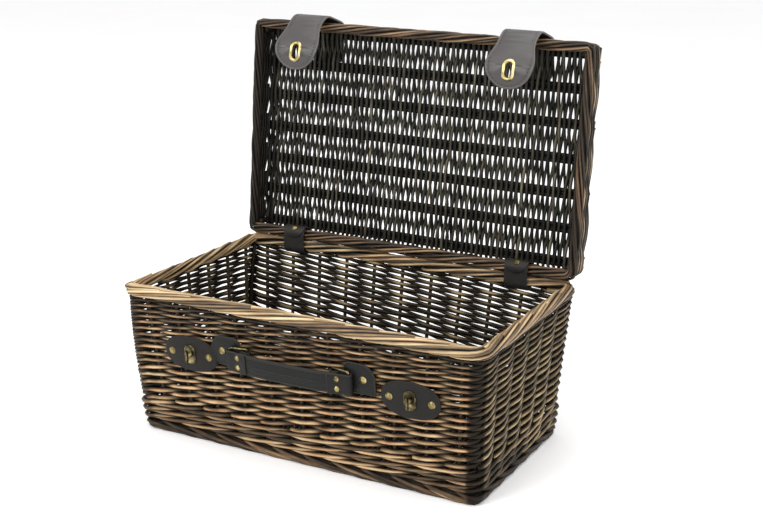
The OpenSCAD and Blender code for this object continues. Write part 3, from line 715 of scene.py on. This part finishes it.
def arc(cx, cy, r, a0, a1, n):
    a = np.radians(np.linspace(a0, a1, n))
    return rows(cx + r * np.cos(a), cy + r * np.sin(a))


def rounded_box(x0, x1, y0, y1, r, n=7):
    """Anticlockwise outline of a rectangle with rounded corners."""
    return np.concatenate([arc(x1 - r, y0 + r, r, -90, 0, n), arc(x1 - r, y1 - r, r, 0, 90, n),
                           arc(x0 + r, y1 - r, r, 90, 180, n), arc(x0 + r, y0 + r, r, 180, 270, n)])


def slab(outline, t, b, groove, hole):
    """A flat piece of leather from -t to t with edges rounded by b, a line embossed at groove from its edge
    and maybe a hole, as a bmesh."""
    rings = [(b, -t), (0.0, -t + b), (0.0, t - b), (0.35 * b, t - 0.35 * b), (b, t)]
    if groove:
        rings += [(groove - 0.5 * MM, t), (groove, t - 0.35 * MM), (groove + 0.5 * MM, t)]
    bm = bmesh.new()

    def ring(points, h):
        return [bm.verts.new((*p, h)) for p in points]

    def sides(verts):
        return list(zip(verts, verts[1:] + verts[:1]))

    def wall(lower, upper):
        for (a, b), (c, d) in zip(sides(lower), sides(upper)):
            bm.faces.new((a, b, d, c))

    verts = [ring(inset(outline, by), h) for by, h in rings]
    for lower, upper in zip(verts, verts[1:]):
        wall(lower, upper)
    if hole is None:
        bm.faces.new(verts[-1])
        bm.faces.new(verts[0][::-1])
        return bm
    holes = [ring(hole, h) for h in (t, -t)]
    wall(*holes)
    for outer, inner, up in ((verts[-1], holes[0], 1), (verts[0], holes[1], -1)):
        edges = [bm.edges.get(e) or bm.edges.new(e) for e in sides(outer) + sides(inner)]
        bmesh.ops.triangle_fill(bm, use_beauty=True, edges=edges, normal=(0, 0, up))
    return bm


def edge_distance(points, outline):
    """Distance of each flat point from a closed outline."""
    d = np.roll(outline, -1, 0) - outline
    gap = points[:, None] - outline
    u = np.clip(np.einsum("ijk,jk->ij", gap, d) / (np.sum(d * d, 1) + 1e-18), 0, 1)
    return np.linalg.norm(gap - u[..., None] * d, axis=2).min(1)


def hide(name, outline, thick, bend, mat, body, cuts=(), groove=2.6 * MM, keep=None, crown=0.0, hole=None):
    """A piece of leather cut to a flat outline, with rounded edges and an embossed line inside them.
    bend maps flat points (across, along, height) to the world. cuts are the lengths at which it may bend,
    and keep is a length and which side of it stays."""
    t, b = thick / 2, min(0.55 * MM, thick / 4)
    bm = slab(outline, t, b, groove, hole)
    for at, direction, clear in [(cut, 1, False) for cut in cuts] + ([(*keep, True)] if keep else []):
        bmesh.ops.bisect_plane(bm, geom=bm.verts[:] + bm.edges[:] + bm.faces[:], plane_co=(0, at, 0),
                               plane_no=(0, direction, 0), dist=1e-7, clear_inner=clear)
    bmesh.ops.triangulate(bm, faces=[f for f in bm.faces if len(f.verts) > 4])
    flat = np.array([v.co for v in bm.verts], float).reshape(-1, 3)
    worn = np.exp(-edge_distance(flat[:, :2], outline) / (0.7 * MM)) * (flat[:, 2] > -t + 0.5 * b)
    skin = rows(flat[:, 0], flat[:, 1], worn)
    flat[:, 2] += crown * (1 - (flat[:, 0] / np.abs(outline[:, 0]).max()) ** 2)
    bm.verts.index_update()
    faces = [[v.index for v in f.verts] for f in bm.faces]
    bm.free()
    obj = new_object(name, bend(flat), faces, mat, body, {"skin": skin})
    bm = bmesh.new()
    bm.from_mesh(obj.data)
    bmesh.ops.recalc_face_normals(bm, faces=bm.faces[:])
    bm.to_mesh(obj.data)
    bm.free()
    return obj


def flat_on(matrix, height):
    """Lays a flat piece in a frame, its middle at a height."""
    return lambda p: to_world(matrix, p + np.array([0, 0, height]))


class Track:
    """A line in a plane that a strip follows: points (a, b) with the strip's face on the left."""

    def __init__(self, points, place, flip=False):
        self.points = np.asarray(points, float)
        self.at = lengths(self.points)
        self.length = self.at[-1]
        self.place, self.flip = place, flip

    def line(self, along):
        along = np.clip(along, 0, self.length)
        return [np.interp(along, self.at, self.points[:, i]) for i in (0, 1)]

    def __call__(self, flat):
        along, e = flat[:, 1], 0.6 * MM
        (a0, b0), (a1, b1), (a, b) = self.line(along - e), self.line(along + e), self.line(along)
        norm = np.hypot(a1 - a0, b1 - b0) + 1e-12
        da, db = (a1 - a0) / norm, (b1 - b0) / norm
        beyond = along - np.clip(along, 0, self.length)
        h = flat[:, 2] * (-1 if self.flip else 1)
        return self.place(flat[:, 0], a + da * beyond - db * h, b + db * beyond + da * h)


def stitches(strands, outline, by, bend, height, start, end, spacing=4.2 * MM, length=2.6 * MM):
    """Short stitches along the inside of an outline, between two lengths along the strip."""
    ring = inset(outline, by)
    ring = np.concatenate([ring, ring[:1]])
    at = lengths(ring)
    for k in range(int(at[-1] / spacing)):
        d = k * spacing + np.linspace(0, length, 4)
        u, v = np.interp(d, at, ring[:, 0]), np.interp(d, at, ring[:, 1])
        if v.min() < start or v.max() > end:
            continue
        lift = np.array([-0.15, 0.12, 0.12, -0.15]) * MM + height
        path = bend(rows(u, v, lift))
        strands.rod(path, 0.34 * MM, bend(rows(u, v, lift + 1 * MM)) - path, sides=5)


STRAP_X = abs(JOINTS["strap_lift_right"]["pos_m"][0])
LEATHER_T = 2.6 * MM
STRAP_W, TONGUE_W, TONGUE_L, EYELET_AT = 46 * MM, 60 * MM, 57 * MM, 35 * MM


def strap_track(side, name):
    """The line of a closing strap: from the lid's top over its front border, then sagging down to the
    tongue's end. Returns the track, the lengths at its root, at the two ends of its bend and at its eyelet,
    and the root's place."""
    root = Vector(JOINTS["strap_lift_" + name]["pos_m"])
    bend = Vector(JOINTS["strap_hang_" + name]["pos_m"])
    root_y = (LID.inverted() @ root).y
    top = LID_DEPTH + 0.3 * MM + LEATHER_T / 2
    over = [(54, top), (12, top), (8, top - 0.3 * MM), (5.4, top - 1.6 * MM), (4.0, top - 4.2 * MM),
            (2.0, top - 9 * MM), (-2.6, 8 * MM)]
    points = [(LID @ Vector((0, root_y + d * MM, z))).yz[:] for d, z in over]
    reach = root.y - bend.y
    sag = [(0, -4.4), (4, -4.9), (8, -4.6), (12, -3.4), (16, -1.2), (20, 1.8), (24, 5.6), (28, 9.8),
           (37.4, 20.2), (41.0, 24.6), (44.0, 29.2), (46.0, 34.0), (47.0, 38.8), (47.1, 44.0)]
    points += [(root.y - reach * d / 47.1, root.z - h * MM) for d, h in sag]
    points.append((bend.y, root.z - (root.z - bend.z + TONGUE_L)))
    track = Track(points, lambda u, y, z: rows(side * STRAP_X + u, y, z), flip=True)
    eye = np.interp(bend.z - EYELET_AT, track.points[:-5:-1, 1], track.at[:-5:-1])
    return track, track.at[7], track.at[14], track.at[15], eye, root


def strap_outline(root_at, start, stop, end):
    """Half widths along a closing strap: straight on the lid, then swelling into the round tongue."""
    centre = end - TONGUE_W / 2
    ts = np.concatenate([np.linspace(8 * MM, start, 16), np.linspace(stop, centre, 9)])
    neck = STRAP_W / 2 + 0.5 * MM * np.clip((ts - root_at) / (start - root_at), 0, 1)
    w = neck + (TONGUE_W / 2 - neck) * smooth_step((ts - start + 6 * MM) / (centre - start + 6 * MM))
    tip = arc(0, centre, TONGUE_W / 2, 4, 176, 40)
    foot = np.concatenate([arc(-STRAP_W / 2 + 8 * MM, 8 * MM, 8 * MM, 180, 270, 8),
                           arc(STRAP_W / 2 - 8 * MM, 8 * MM, 8 * MM, 270, 360, 8)])
    return np.concatenate([foot, rows(w, ts)[1:], tip, rows(-w, ts)[:0:-1]])


def stadium(w, l, n=14):
    """Anticlockwise outline w wide and l long with half-round ends."""
    r = w / 2
    return np.concatenate([arc(0, l / 2 - r, r, 0, 180, n), arc(0, -l / 2 + r, r, 180, 360, n)])


def closing_strap(side, name):
    """One closing strap in two pieces that meet on its neck, with its stitches and its eyelet."""
    neck, tongue = f"strap_neck_{name}_body", f"strap_tongue_{name}_body"
    track, root_at, start, stop, eye, root = strap_track(side, name)
    outline = strap_outline(root_at, start, stop, track.length)
    seam = root_at + 13 * MM
    hole = stadium(10 * MM, 19.4 * MM)[::-1] + np.array([0, eye])
    cuts = [*np.arange(6 * MM, start, 2.5 * MM), *np.arange(stop, track.length - 4 * MM, 2.5 * MM)]
    first, last = (Vector(track(np.array([[0, at, 0]]))[0]) for at in (start + 0.3 * MM, stop - 0.3 * MM))
    back = Vector((0, 5 * MM, 0))
    parts = (("root", (seam, -1), ((4 * MM, seam),), (f"strap_anchor_{name}", f"strap_neck_{name}"),
              ("lid", neck, root + back, root - back)),
             ("tongue", (seam, 1), ((seam, start), (stop, 9.0)), (f"strap_tongue_{name}",),
              (neck, tongue, first, last)))
    for part, keep, spans, nodes, (a, b, first, last) in parts:
        obj = hide(f"strap_{name}_{part}", outline, LEATHER_T, track, STRAP_LEATHER, None, cuts, keep=keep,
                   crown=0.3 * MM, hole=hole)
        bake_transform(obj)
        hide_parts(*nodes)
        thread = Strands()
        for lo, hi in spans:
            stitches(thread, outline, 4.3 * MM, track, LEATHER_T / 2 + 0.05 * MM, lo, hi)
        obj = thread.plain(f"strap_{name}_{part}_thread", THREAD, None)
        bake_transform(obj)
    eyelet(f"strap_{name}_eyelet", track, eye, tongue, "eyelet_" + name)


def eyelet(name, track, at, body, node):
    """Oval brass eyelet with a rolled rim on both faces and a straight slot through it."""
    t = LEATHER_T / 2
    profile = [(0.0, -t), (0.0, t), (0.45, t + 0.9 * MM), (1.5, t + 1.5 * MM), (2.7, t + 1.45 * MM),
               (3.7, t + 0.9 * MM), (4.2, t + 0.1 * MM), (4.2, t - 0.3 * MM), (4.2, -t + 0.3 * MM),
               (3.7, -t - 0.6 * MM), (1.5, -t - 0.9 * MM), (0.4, -t - 0.6 * MM)]
    base = stadium(8 * MM, 17.4 * MM, 16)
    m, q = len(base), len(profile)
    co = [track(rows(*(inset(base, -by * MM) + (0, at)).T, h)) for by, h in profile]
    faces = [face for i in range(q) for face in quads(i * m, (i + 1) % q * m, m)]
    obj = new_object(name, np.concatenate(co), faces, BRIGHT_BRASS, body)
    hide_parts(node)


def oval(w, h, power=2.35, n=76):
    """An ellipse with slightly fuller ends."""
    a = np.linspace(0, 2 * math.pi, n, endpoint=False)
    x, y = (np.sign(v) * np.abs(v) ** (2 / power) for v in (np.cos(a), np.sin(a)))
    return rows(w / 2 * x, h / 2 * y)


def lathe(co, faces, matrix, profile, n=28):
    """Adds a turned shape about Z of a frame. profile is (radius, height) from the middle outwards."""
    start = len(co)
    a = np.linspace(0, 2 * math.pi, n, endpoint=False)
    co.extend(to_world(matrix, [(0, 0, profile[0][1])]).tolist())
    for r, h in profile[1:]:
        co.extend(to_world(matrix, rows(r * np.cos(a), r * np.sin(a), h)).tolist())
    for k in range(n):
        faces.append([start, start + 1 + k, start + 1 + (k + 1) % n])
    for i in range(len(profile) - 2):
        p, q = start + 1 + i * n, start + 1 + (i + 1) * n
        for k in range(n):
            faces.append([p + k, q + k, q + (k + 1) % n, p + (k + 1) % n])


def rivets(name, frames, r, body, *nodes):
    """Domed brass rivets with a flat rim."""
    co, faces = [], []
    profile = [(0, 1.75), (0.28, 1.68), (0.5, 1.4), (0.66, 0.95), (0.72, 0.72), (0.86, 0.66), (0.97, 0.45),
               (1.0, 0.1), (1.0, -0.3)]
    for m in frames:
        lathe(co, faces, m, [(f * r, h * MM) for f, h in profile])
    obj = new_object(name, co, faces, RIVET_BRASS, body)
    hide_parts(*nodes)


LATCH_Z = 114 * MM


def latches():
    """The two oval latch plates, their rivets, lock bases and turn knobs."""
    frames = []
    for side, name in SIDES:
        at = on_front(side * STRAP_X, LATCH_Z)
        plate = hide(f"latch_plate_{name}_leather", oval(71 * MM, 43.4 * MM), LEATHER_T,
                     flat_on(at, SKIN + LEATHER_T / 2), PLATE_LEATHER, "basket", crown=0.5 * MM, groove=0)
        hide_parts("latch_plate_" + name)
        frames += [at @ Matrix.Translation((x * MM, 0, SKIN + LEATHER_T + 0.25 * MM)) for x in (-25.5, 25.5)]
        lock_base(name, at)
        knob(name, at)
    rivets("latch_rivet_heads", frames, 4.4 * MM, "basket", "latch_rivets")


def lock_base(name, at):
    """Oval brass plate with a raised rim and a sunk field."""
    profile = [(0, 0), (0, 0.8), (0.4, 1.5), (1.1, 1.75), (1.8, 1.5), (2.3, 0.85), (3.2, 0.75)]
    z = SKIN + LEATHER_T + 0.45 * MM
    base = stadium(15 * MM, 24.6 * MM, 18)
    m, top = len(base), len(profile) - 1
    co = [to_world(at, rows(*inset(base, by * MM).T, z + h * MM)) for by, h in profile]
    faces = [face for i in range(top) for face in quads(i * m, (i + 1) * m, m)]
    faces.append([top * m + k for k in range(m)])
    obj = new_object(f"lock_base_{name}_plate", np.concatenate(co), faces, BRASS, "basket")
    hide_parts("lock_base_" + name)


def knob(name, at):
    """Turn knob: a stem, and a crossbar with rounded ends and a waist, standing upright."""
    z = SKIN + LEATHER_T + 1 * MM
    co, faces, n = [], [], 40
    stem = [(0, 6.3), (2.5, 6.3), (2.5, 1.0), (3.4, 0.4), (3.4, 0)]
    lathe(co, faces, at, [(r * MM, z + h * MM) for r, h in stem], 24)
    a = np.linspace(0, 2 * math.pi, n, endpoint=False)
    half_w, half_l, mid = 1.8 * MM, 7.5 * MM, z + 7.1 * MM
    tall = np.sign(np.sin(a)) * np.abs(np.sin(a)) ** 0.7
    base = rows(half_w * np.cos(a) * (1 - 0.16 * np.cos(a) ** 2), half_l * tall)
    bar = [(-2.0, 0.55), (-1.7, 0.9), (-0.9, 1.0), (0.9, 1.0), (1.6, 0.88), (2.0, 0.55)]
    start = len(co)
    for h, f in bar:
        ring = base * np.array([f, 1 - (1 - f) * 0.3])
        co.extend(to_world(at, rows(*ring.T, mid + h * MM)).tolist())
    for i in range(start, len(co) - n, n):
        faces += quads(i, i + n, n)
    faces += [list(range(len(co) - n, len(co))), list(range(start + n - 1, start - 1, -1))]
    obj = new_object(f"turn_knob_{name}", co, faces, BRASS, f"lock_knob_{name}_body")
    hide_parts("lock_knob_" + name)


# ---- the handle
HANDLE_Z = 121 * MM
HANDLE = on_front(JOINTS["handle_pull"]["pos_m"][0], HANDLE_Z)
TAB_HALF = 55 * MM
FOLD_H = SKIN + 4.1 * MM
STRAP_H = SKIN + 7.25 * MM
RING_L = 22 * MM
RING_TILT = math.asin((STRAP_H - FOLD_H) / RING_L)
BAR_X = TAB_HALF + RING_L * math.cos(RING_TILT)
BOW_X = BAR_X - 8.8 * MM


def bow(x):
    return 7 * MM * np.maximum(0, 1 - (np.asarray(x) / BOW_X) ** 4)


def strip_on(matrix, side=1):
    """Places (across, along, height) of a strip that runs along X of a frame. side mirrors it."""
    return lambda u, x, h: to_world(matrix, rows(side * x, side * u, h))


def folded(name, track, half, corner, bends, body, groove):
    """A thin leather strip that follows a track all its length and may bend at every step."""
    shape = rounded_box(-half, half, 0, track.length, corner)
    hide(name, shape, 1.9 * MM, track, LEATHER, body, np.arange(bends, track.length, bends), groove=groove)


def handle_parts():
    """The handle's strap, the leather loops at its ends, its rivets and the stitched edges."""
    xs = np.linspace(-64 * MM, 64 * MM, 50)
    track = Track(rows(xs, STRAP_H + bow(xs)), strip_on(HANDLE))
    half, end = 12.2 * MM, track.length
    outline = rounded_box(-half, half, 0, end, 3 * MM)
    strap = hide("handle_strap_leather", outline, 3.2 * MM, track, LEATHER, "handle",
                 np.arange(3 * MM, end, 3 * MM), crown=0.7 * MM, groove=3.4 * MM)
    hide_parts("handle_strap")
    thread = Strands()
    for by, height, gap, length in ((2.1, 1.75, 14, 2.2), (12.0, 2.30, 22, 1.6)):
        stitches(thread, outline, by * MM, track, height * MM, gap * MM, end - gap * MM, 3.6 * MM,
                 length * MM)
    thread.plain("handle_thread", THREAD, "handle")
    frames = []
    for side, name in SIDES:
        points = [(x, STRAP_H + bow(x) + 2.75 * MM) for x in np.linspace(52.5, 61, 5) * MM]
        points += [(66 * MM, STRAP_H + 4.1 * MM), (70 * MM, STRAP_H + 3.6 * MM)]
        points += arc(BAR_X, STRAP_H, 3.4 * MM, 90, -90, 14).tolist()
        points += [(62.5 * MM, STRAP_H - 3.3 * MM)]
        folded(f"handle_loop_{name}", Track(points, strip_on(HANDLE, side)), half, 1.2 * MM, 1.5 * MM,
               "handle", 2.0 * MM)
        frames += [HANDLE @ Matrix.Translation((side * 63.6 * MM, u * MM, STRAP_H + 5.2 * MM))
                   for u in (-6, 6)]
    rivets("handle_rivet_heads", frames, 3.6 * MM, "handle", "handle_rivets")


def tab_shape(side):
    """Outline of a handle tab, in its own frame with the ring's inner bar at 0. The left one is cut back
    round its latch plate."""
    corners = np.concatenate([[(3.0, -12.2)], arc(49, -10.2, 2, -90, 0, 5), arc(34, 7, 17, 0, 90, 20),
                              arc(20, 17, 7, 90, 180, 9), [(13, 12.4)], [(3.0, 12.2)]]) * MM
    pts = []
    for a, b in zip(corners, np.roll(corners, -1, 0)):
        steps = max(1, int(np.linalg.norm(b - a) / (2.5 * MM)))
        pts += [a + (b - a) * k / steps for k in range(steps)]
    pts = np.array(pts)
    if side < 0:
        plate = np.array([STRAP_X + HANDLE.translation.x - TAB_HALF, LATCH_Z - HANDLE_Z])
        r = np.linalg.norm((pts - plate) / np.array([35.9 * MM, 22.4 * MM]), axis=1)[:, None]
        pts = np.where(r < 1, plate + (pts - plate) / np.maximum(r, 1e-6), pts)
    return pts


def tabs_and_rings():
    """The leather tabs riveted to the wall, each folded round a brass ring."""
    frames = []
    for side, name in SIDES:
        local = HANDLE @ Matrix.Translation((side * TAB_HALF, 0, 0))

        def lay(p, local=local, side=side):
            return to_world(local, rows(side * p[:, 0], p[:, 1], p[:, 2] + SKIN + 1.2 * MM))

        tab = hide(f"handle_tab_{name}_leather", tab_shape(side), 2.4 * MM, lay, LEATHER, "basket",
                   groove=2.2 * MM)
        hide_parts("handle_tab_" + name)
        points = [(15 * MM, SKIN + 3.1 * MM), (6 * MM, SKIN + 1.8 * MM), (1.5 * MM, FOLD_H - 3.05 * MM)]
        points += arc(0, FOLD_H, 3.0 * MM, 270, 90, 14).tolist()
        points += [(5 * MM, FOLD_H + 2.4 * MM), (9 * MM, FOLD_H + 1.0 * MM)]
        folded(f"handle_tab_{name}_fold", Track(points, strip_on(local, side), flip=True), 12.1 * MM, 1 * MM,
               1.2 * MM, "basket", 0)
        frames.append(local @ Matrix.Translation((side * 36.5 * MM, 5.5 * MM, SKIN + 2.4 * MM)))
        wire_ring(name, side, local)
    rivets("tab_rivet_heads", frames, 4.4 * MM, "basket", "tab_rivets")


def wire_ring(name, side, local):
    """Rectangular wire ring with rounded corners, lying back over its tab."""
    strands = Strands()
    shape = rounded_box(0, RING_L, -14.5 * MM, 14.5 * MM, 2.0 * MM, 6)
    shape = np.concatenate([shape, shape[:1]])
    at = lengths(shape)
    d = np.linspace(0, at[-1], 90)
    tilt = Matrix.Translation((0, 0, FOLD_H)) @ Matrix.Rotation(-RING_TILT, 4, "Y")
    pts = to_world(tilt, rows(np.interp(d, at, shape[:, 0]), np.interp(d, at, shape[:, 1]), 0.0))
    pts[:, 0] *= side
    strands.rod(to_world(local, pts), 1.5 * MM, np.array(local.to_3x3())[:, 2], sides=12)
    obj = strands.plain(f"handle_ring_{name}_wire", BRASS, "ring_" + name)
    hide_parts("handle_ring_" + name)


# ---- the hinge loops
def around(centre, r, a0, a1, n):
    """Points (y, z) on an arc about a centre, its angles counted from straight up towards the front."""
    a = np.radians(np.linspace(a0, a1, n))
    return rows(centre[1] - r * np.sin(a), centre[2] + r * np.cos(a)).tolist()


def hinge_loops():
    """Leather bands round both back borders, each with an overlapping flap held by a stud."""
    frames = []
    r = 9.45 * MM
    points = around(HINGE, r, 30, 90, 8) + around(TOP, r, 90, 270, 20) + around(HINGE, r, 270, 352, 12)
    points += around(HINGE, 10.6 * MM, 368, 376, 3) + around(HINGE, 11.5 * MM, 388, 462, 14)
    for _, name in SIDES:
        lo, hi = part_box("hinge_loop_" + name)
        x0, w = (lo.x + hi.x) / 2, (hi.x - lo.x) / 2 - 0.2 * MM
        track = Track(points, lambda u, y, z, x0=x0: rows(x0 + u, y, z), flip=True)
        end = track.length
        edge = np.linspace(3 * MM, end - w, 20)
        shape = np.concatenate([[(-w, 0), (w, 0)], rows(w, edge), arc(0, end - w, w, 6, 174, 24),
                                rows(-w, edge[::-1])])
        obj = hide(f"hinge_loop_{name}_leather", shape, 1.9 * MM, track, LEATHER, "basket",
                   np.arange(1.5 * MM, end - 1 * MM, 1.5 * MM), groove=0)
        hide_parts("hinge_loop_" + name)
        frames.append(Matrix.Translation((x0, HINGE.y, HINGE.z)) @ Matrix.Rotation(math.radians(38), 4, "X")
                      @ Matrix.Translation((0, 0, 12.45 * MM)))
    rivets("hinge_stud_heads", frames, 3.7 * MM, "basket", "hinge_studs")


def anchor_rivets():
    """The two rivets that hold each closing strap on the lid's top."""
    root_y = (LID.inverted() @ Vector(JOINTS["strap_lift_left"]["pos_m"])).y
    frames = [LID @ Matrix.Translation((side * STRAP_X + dx * MM, root_y + 38 * MM, LID_DEPTH + 3.2 * MM))
              for side in (-1, 1) for dx in (-12, 12)]
    rivets("anchor_rivet_heads", frames, 4.0 * MM, "lid", "anchor_rivets")


# ---- carried CAD parts, stage and camera
def dress_cad():
    """Gives the CAD stakes and base sticks their stained willow."""
    for name in ("front_stakes", "right_stakes", "back_stakes", "left_stakes", "base_sticks"):
        obj = frame["nodes"][name]
        obj.data.materials.clear()
        obj.data.materials.append(STAKE)


def pale_floor():
    """A wide plain floor, nearly white, with the faintest mottling."""
    n = Nodes("pale_floor")
    place = n.add("ShaderNodeTexCoord").outputs["Object"]
    mottle = n.noise(place, 3.0, 3.0)
    colour = n.ramp(mottle, [(0.3, (0.93, 0.93, 0.93)), (0.7, (0.95, 0.95, 0.95))])
    mat = n.finish(Base_Color=colour, Roughness=0.9, Specular_IOR_Level=0.1)
    mesh = bpy.data.meshes.new("floor")
    corners = [(x, y, -0.0003) for x, y in ((-9, -9), (9, -9), (9, 9), (-9, 9))]
    mesh.from_pydata(corners, [], [(0, 1, 2, 3)])
    mesh.materials.append(mat)
    floor = bpy.data.objects.new("floor", mesh)
    bpy.context.scene.collection.objects.link(floor)


def area_light(name, at, aim, size, power):
    data = bpy.data.lights.new(name, "AREA")
    data.shape, data.size, data.energy = "SQUARE", size, power
    obj = bpy.data.objects.new(name, data)
    obj.location = at
    obj.rotation_euler = (Vector(aim) - Vector(at)).to_track_quat("-Z", "Y").to_euler()
    bpy.context.scene.collection.objects.link(obj)


def studio():
    """Soft white light from all round, with large panels at the front left and above."""
    world = bpy.data.worlds.new("studio")
    world.use_nodes = True
    world.node_tree.nodes["Background"].inputs[0].default_value = (1, 1, 1, 1)
    world.node_tree.nodes["Background"].inputs[1].default_value = 1.0
    bpy.context.scene.world = world
    area_light("key", (-0.9, -1.9, 1.7), (0, 0, 0.2), 1.2, 34)
    area_light("fill", (2.0, -1.2, 1.2), (0, 0, 0.2), 1.4, 16)
    area_light("overhead", (0.2, 0.1, 2.2), (0, 0, 0.1), 1.6, 20)
    bpy.context.scene.view_settings.view_transform = "Standard"


def camera():
    """The photograph's view: slightly from the right and above, through a moderate lens."""
    azimuth, elevation, roll = math.radians(28.21), math.radians(16.66), math.radians(0.47)
    aim, distance = Vector((0.03743, 0, 0.21994)), 1.56348
    forward = Vector((-math.sin(azimuth) * math.cos(elevation), math.cos(azimuth) * math.cos(elevation),
                      -math.sin(elevation)))
    data = bpy.data.cameras.new("camera")
    data.sensor_width, data.lens = 36, 36 * 1360.94 / 763
    data.clip_start, data.clip_end = 0.05, 60
    obj = bpy.data.objects.new("camera", data)
    right = Vector((math.cos(azimuth), math.sin(azimuth), 0))
    up = right.cross(forward)
    c, s = math.cos(roll), math.sin(roll)
    right, up = c * right + s * up, c * up - s * right
    turn = Matrix((right, up, -forward)).transposed()
    obj.matrix_world = Matrix.Translation(aim - forward * distance) @ turn.to_4x4()
    bpy.context.scene.collection.objects.link(obj)
    bpy.context.scene.camera = obj


camera()
studio()
pale_floor()
dress_cad()
body_weave()
waling()
foot_plait()
top_border()
base_weave()
corner_stakes()
lid_border()
lid_weave()
lid_rods()
lid_skirts()
latches()
handle_parts()
tabs_and_rings()
hinge_loops()
anchor_rivets()
for strap_side, strap_name in SIDES:
    closing_strap(strap_side, strap_name)
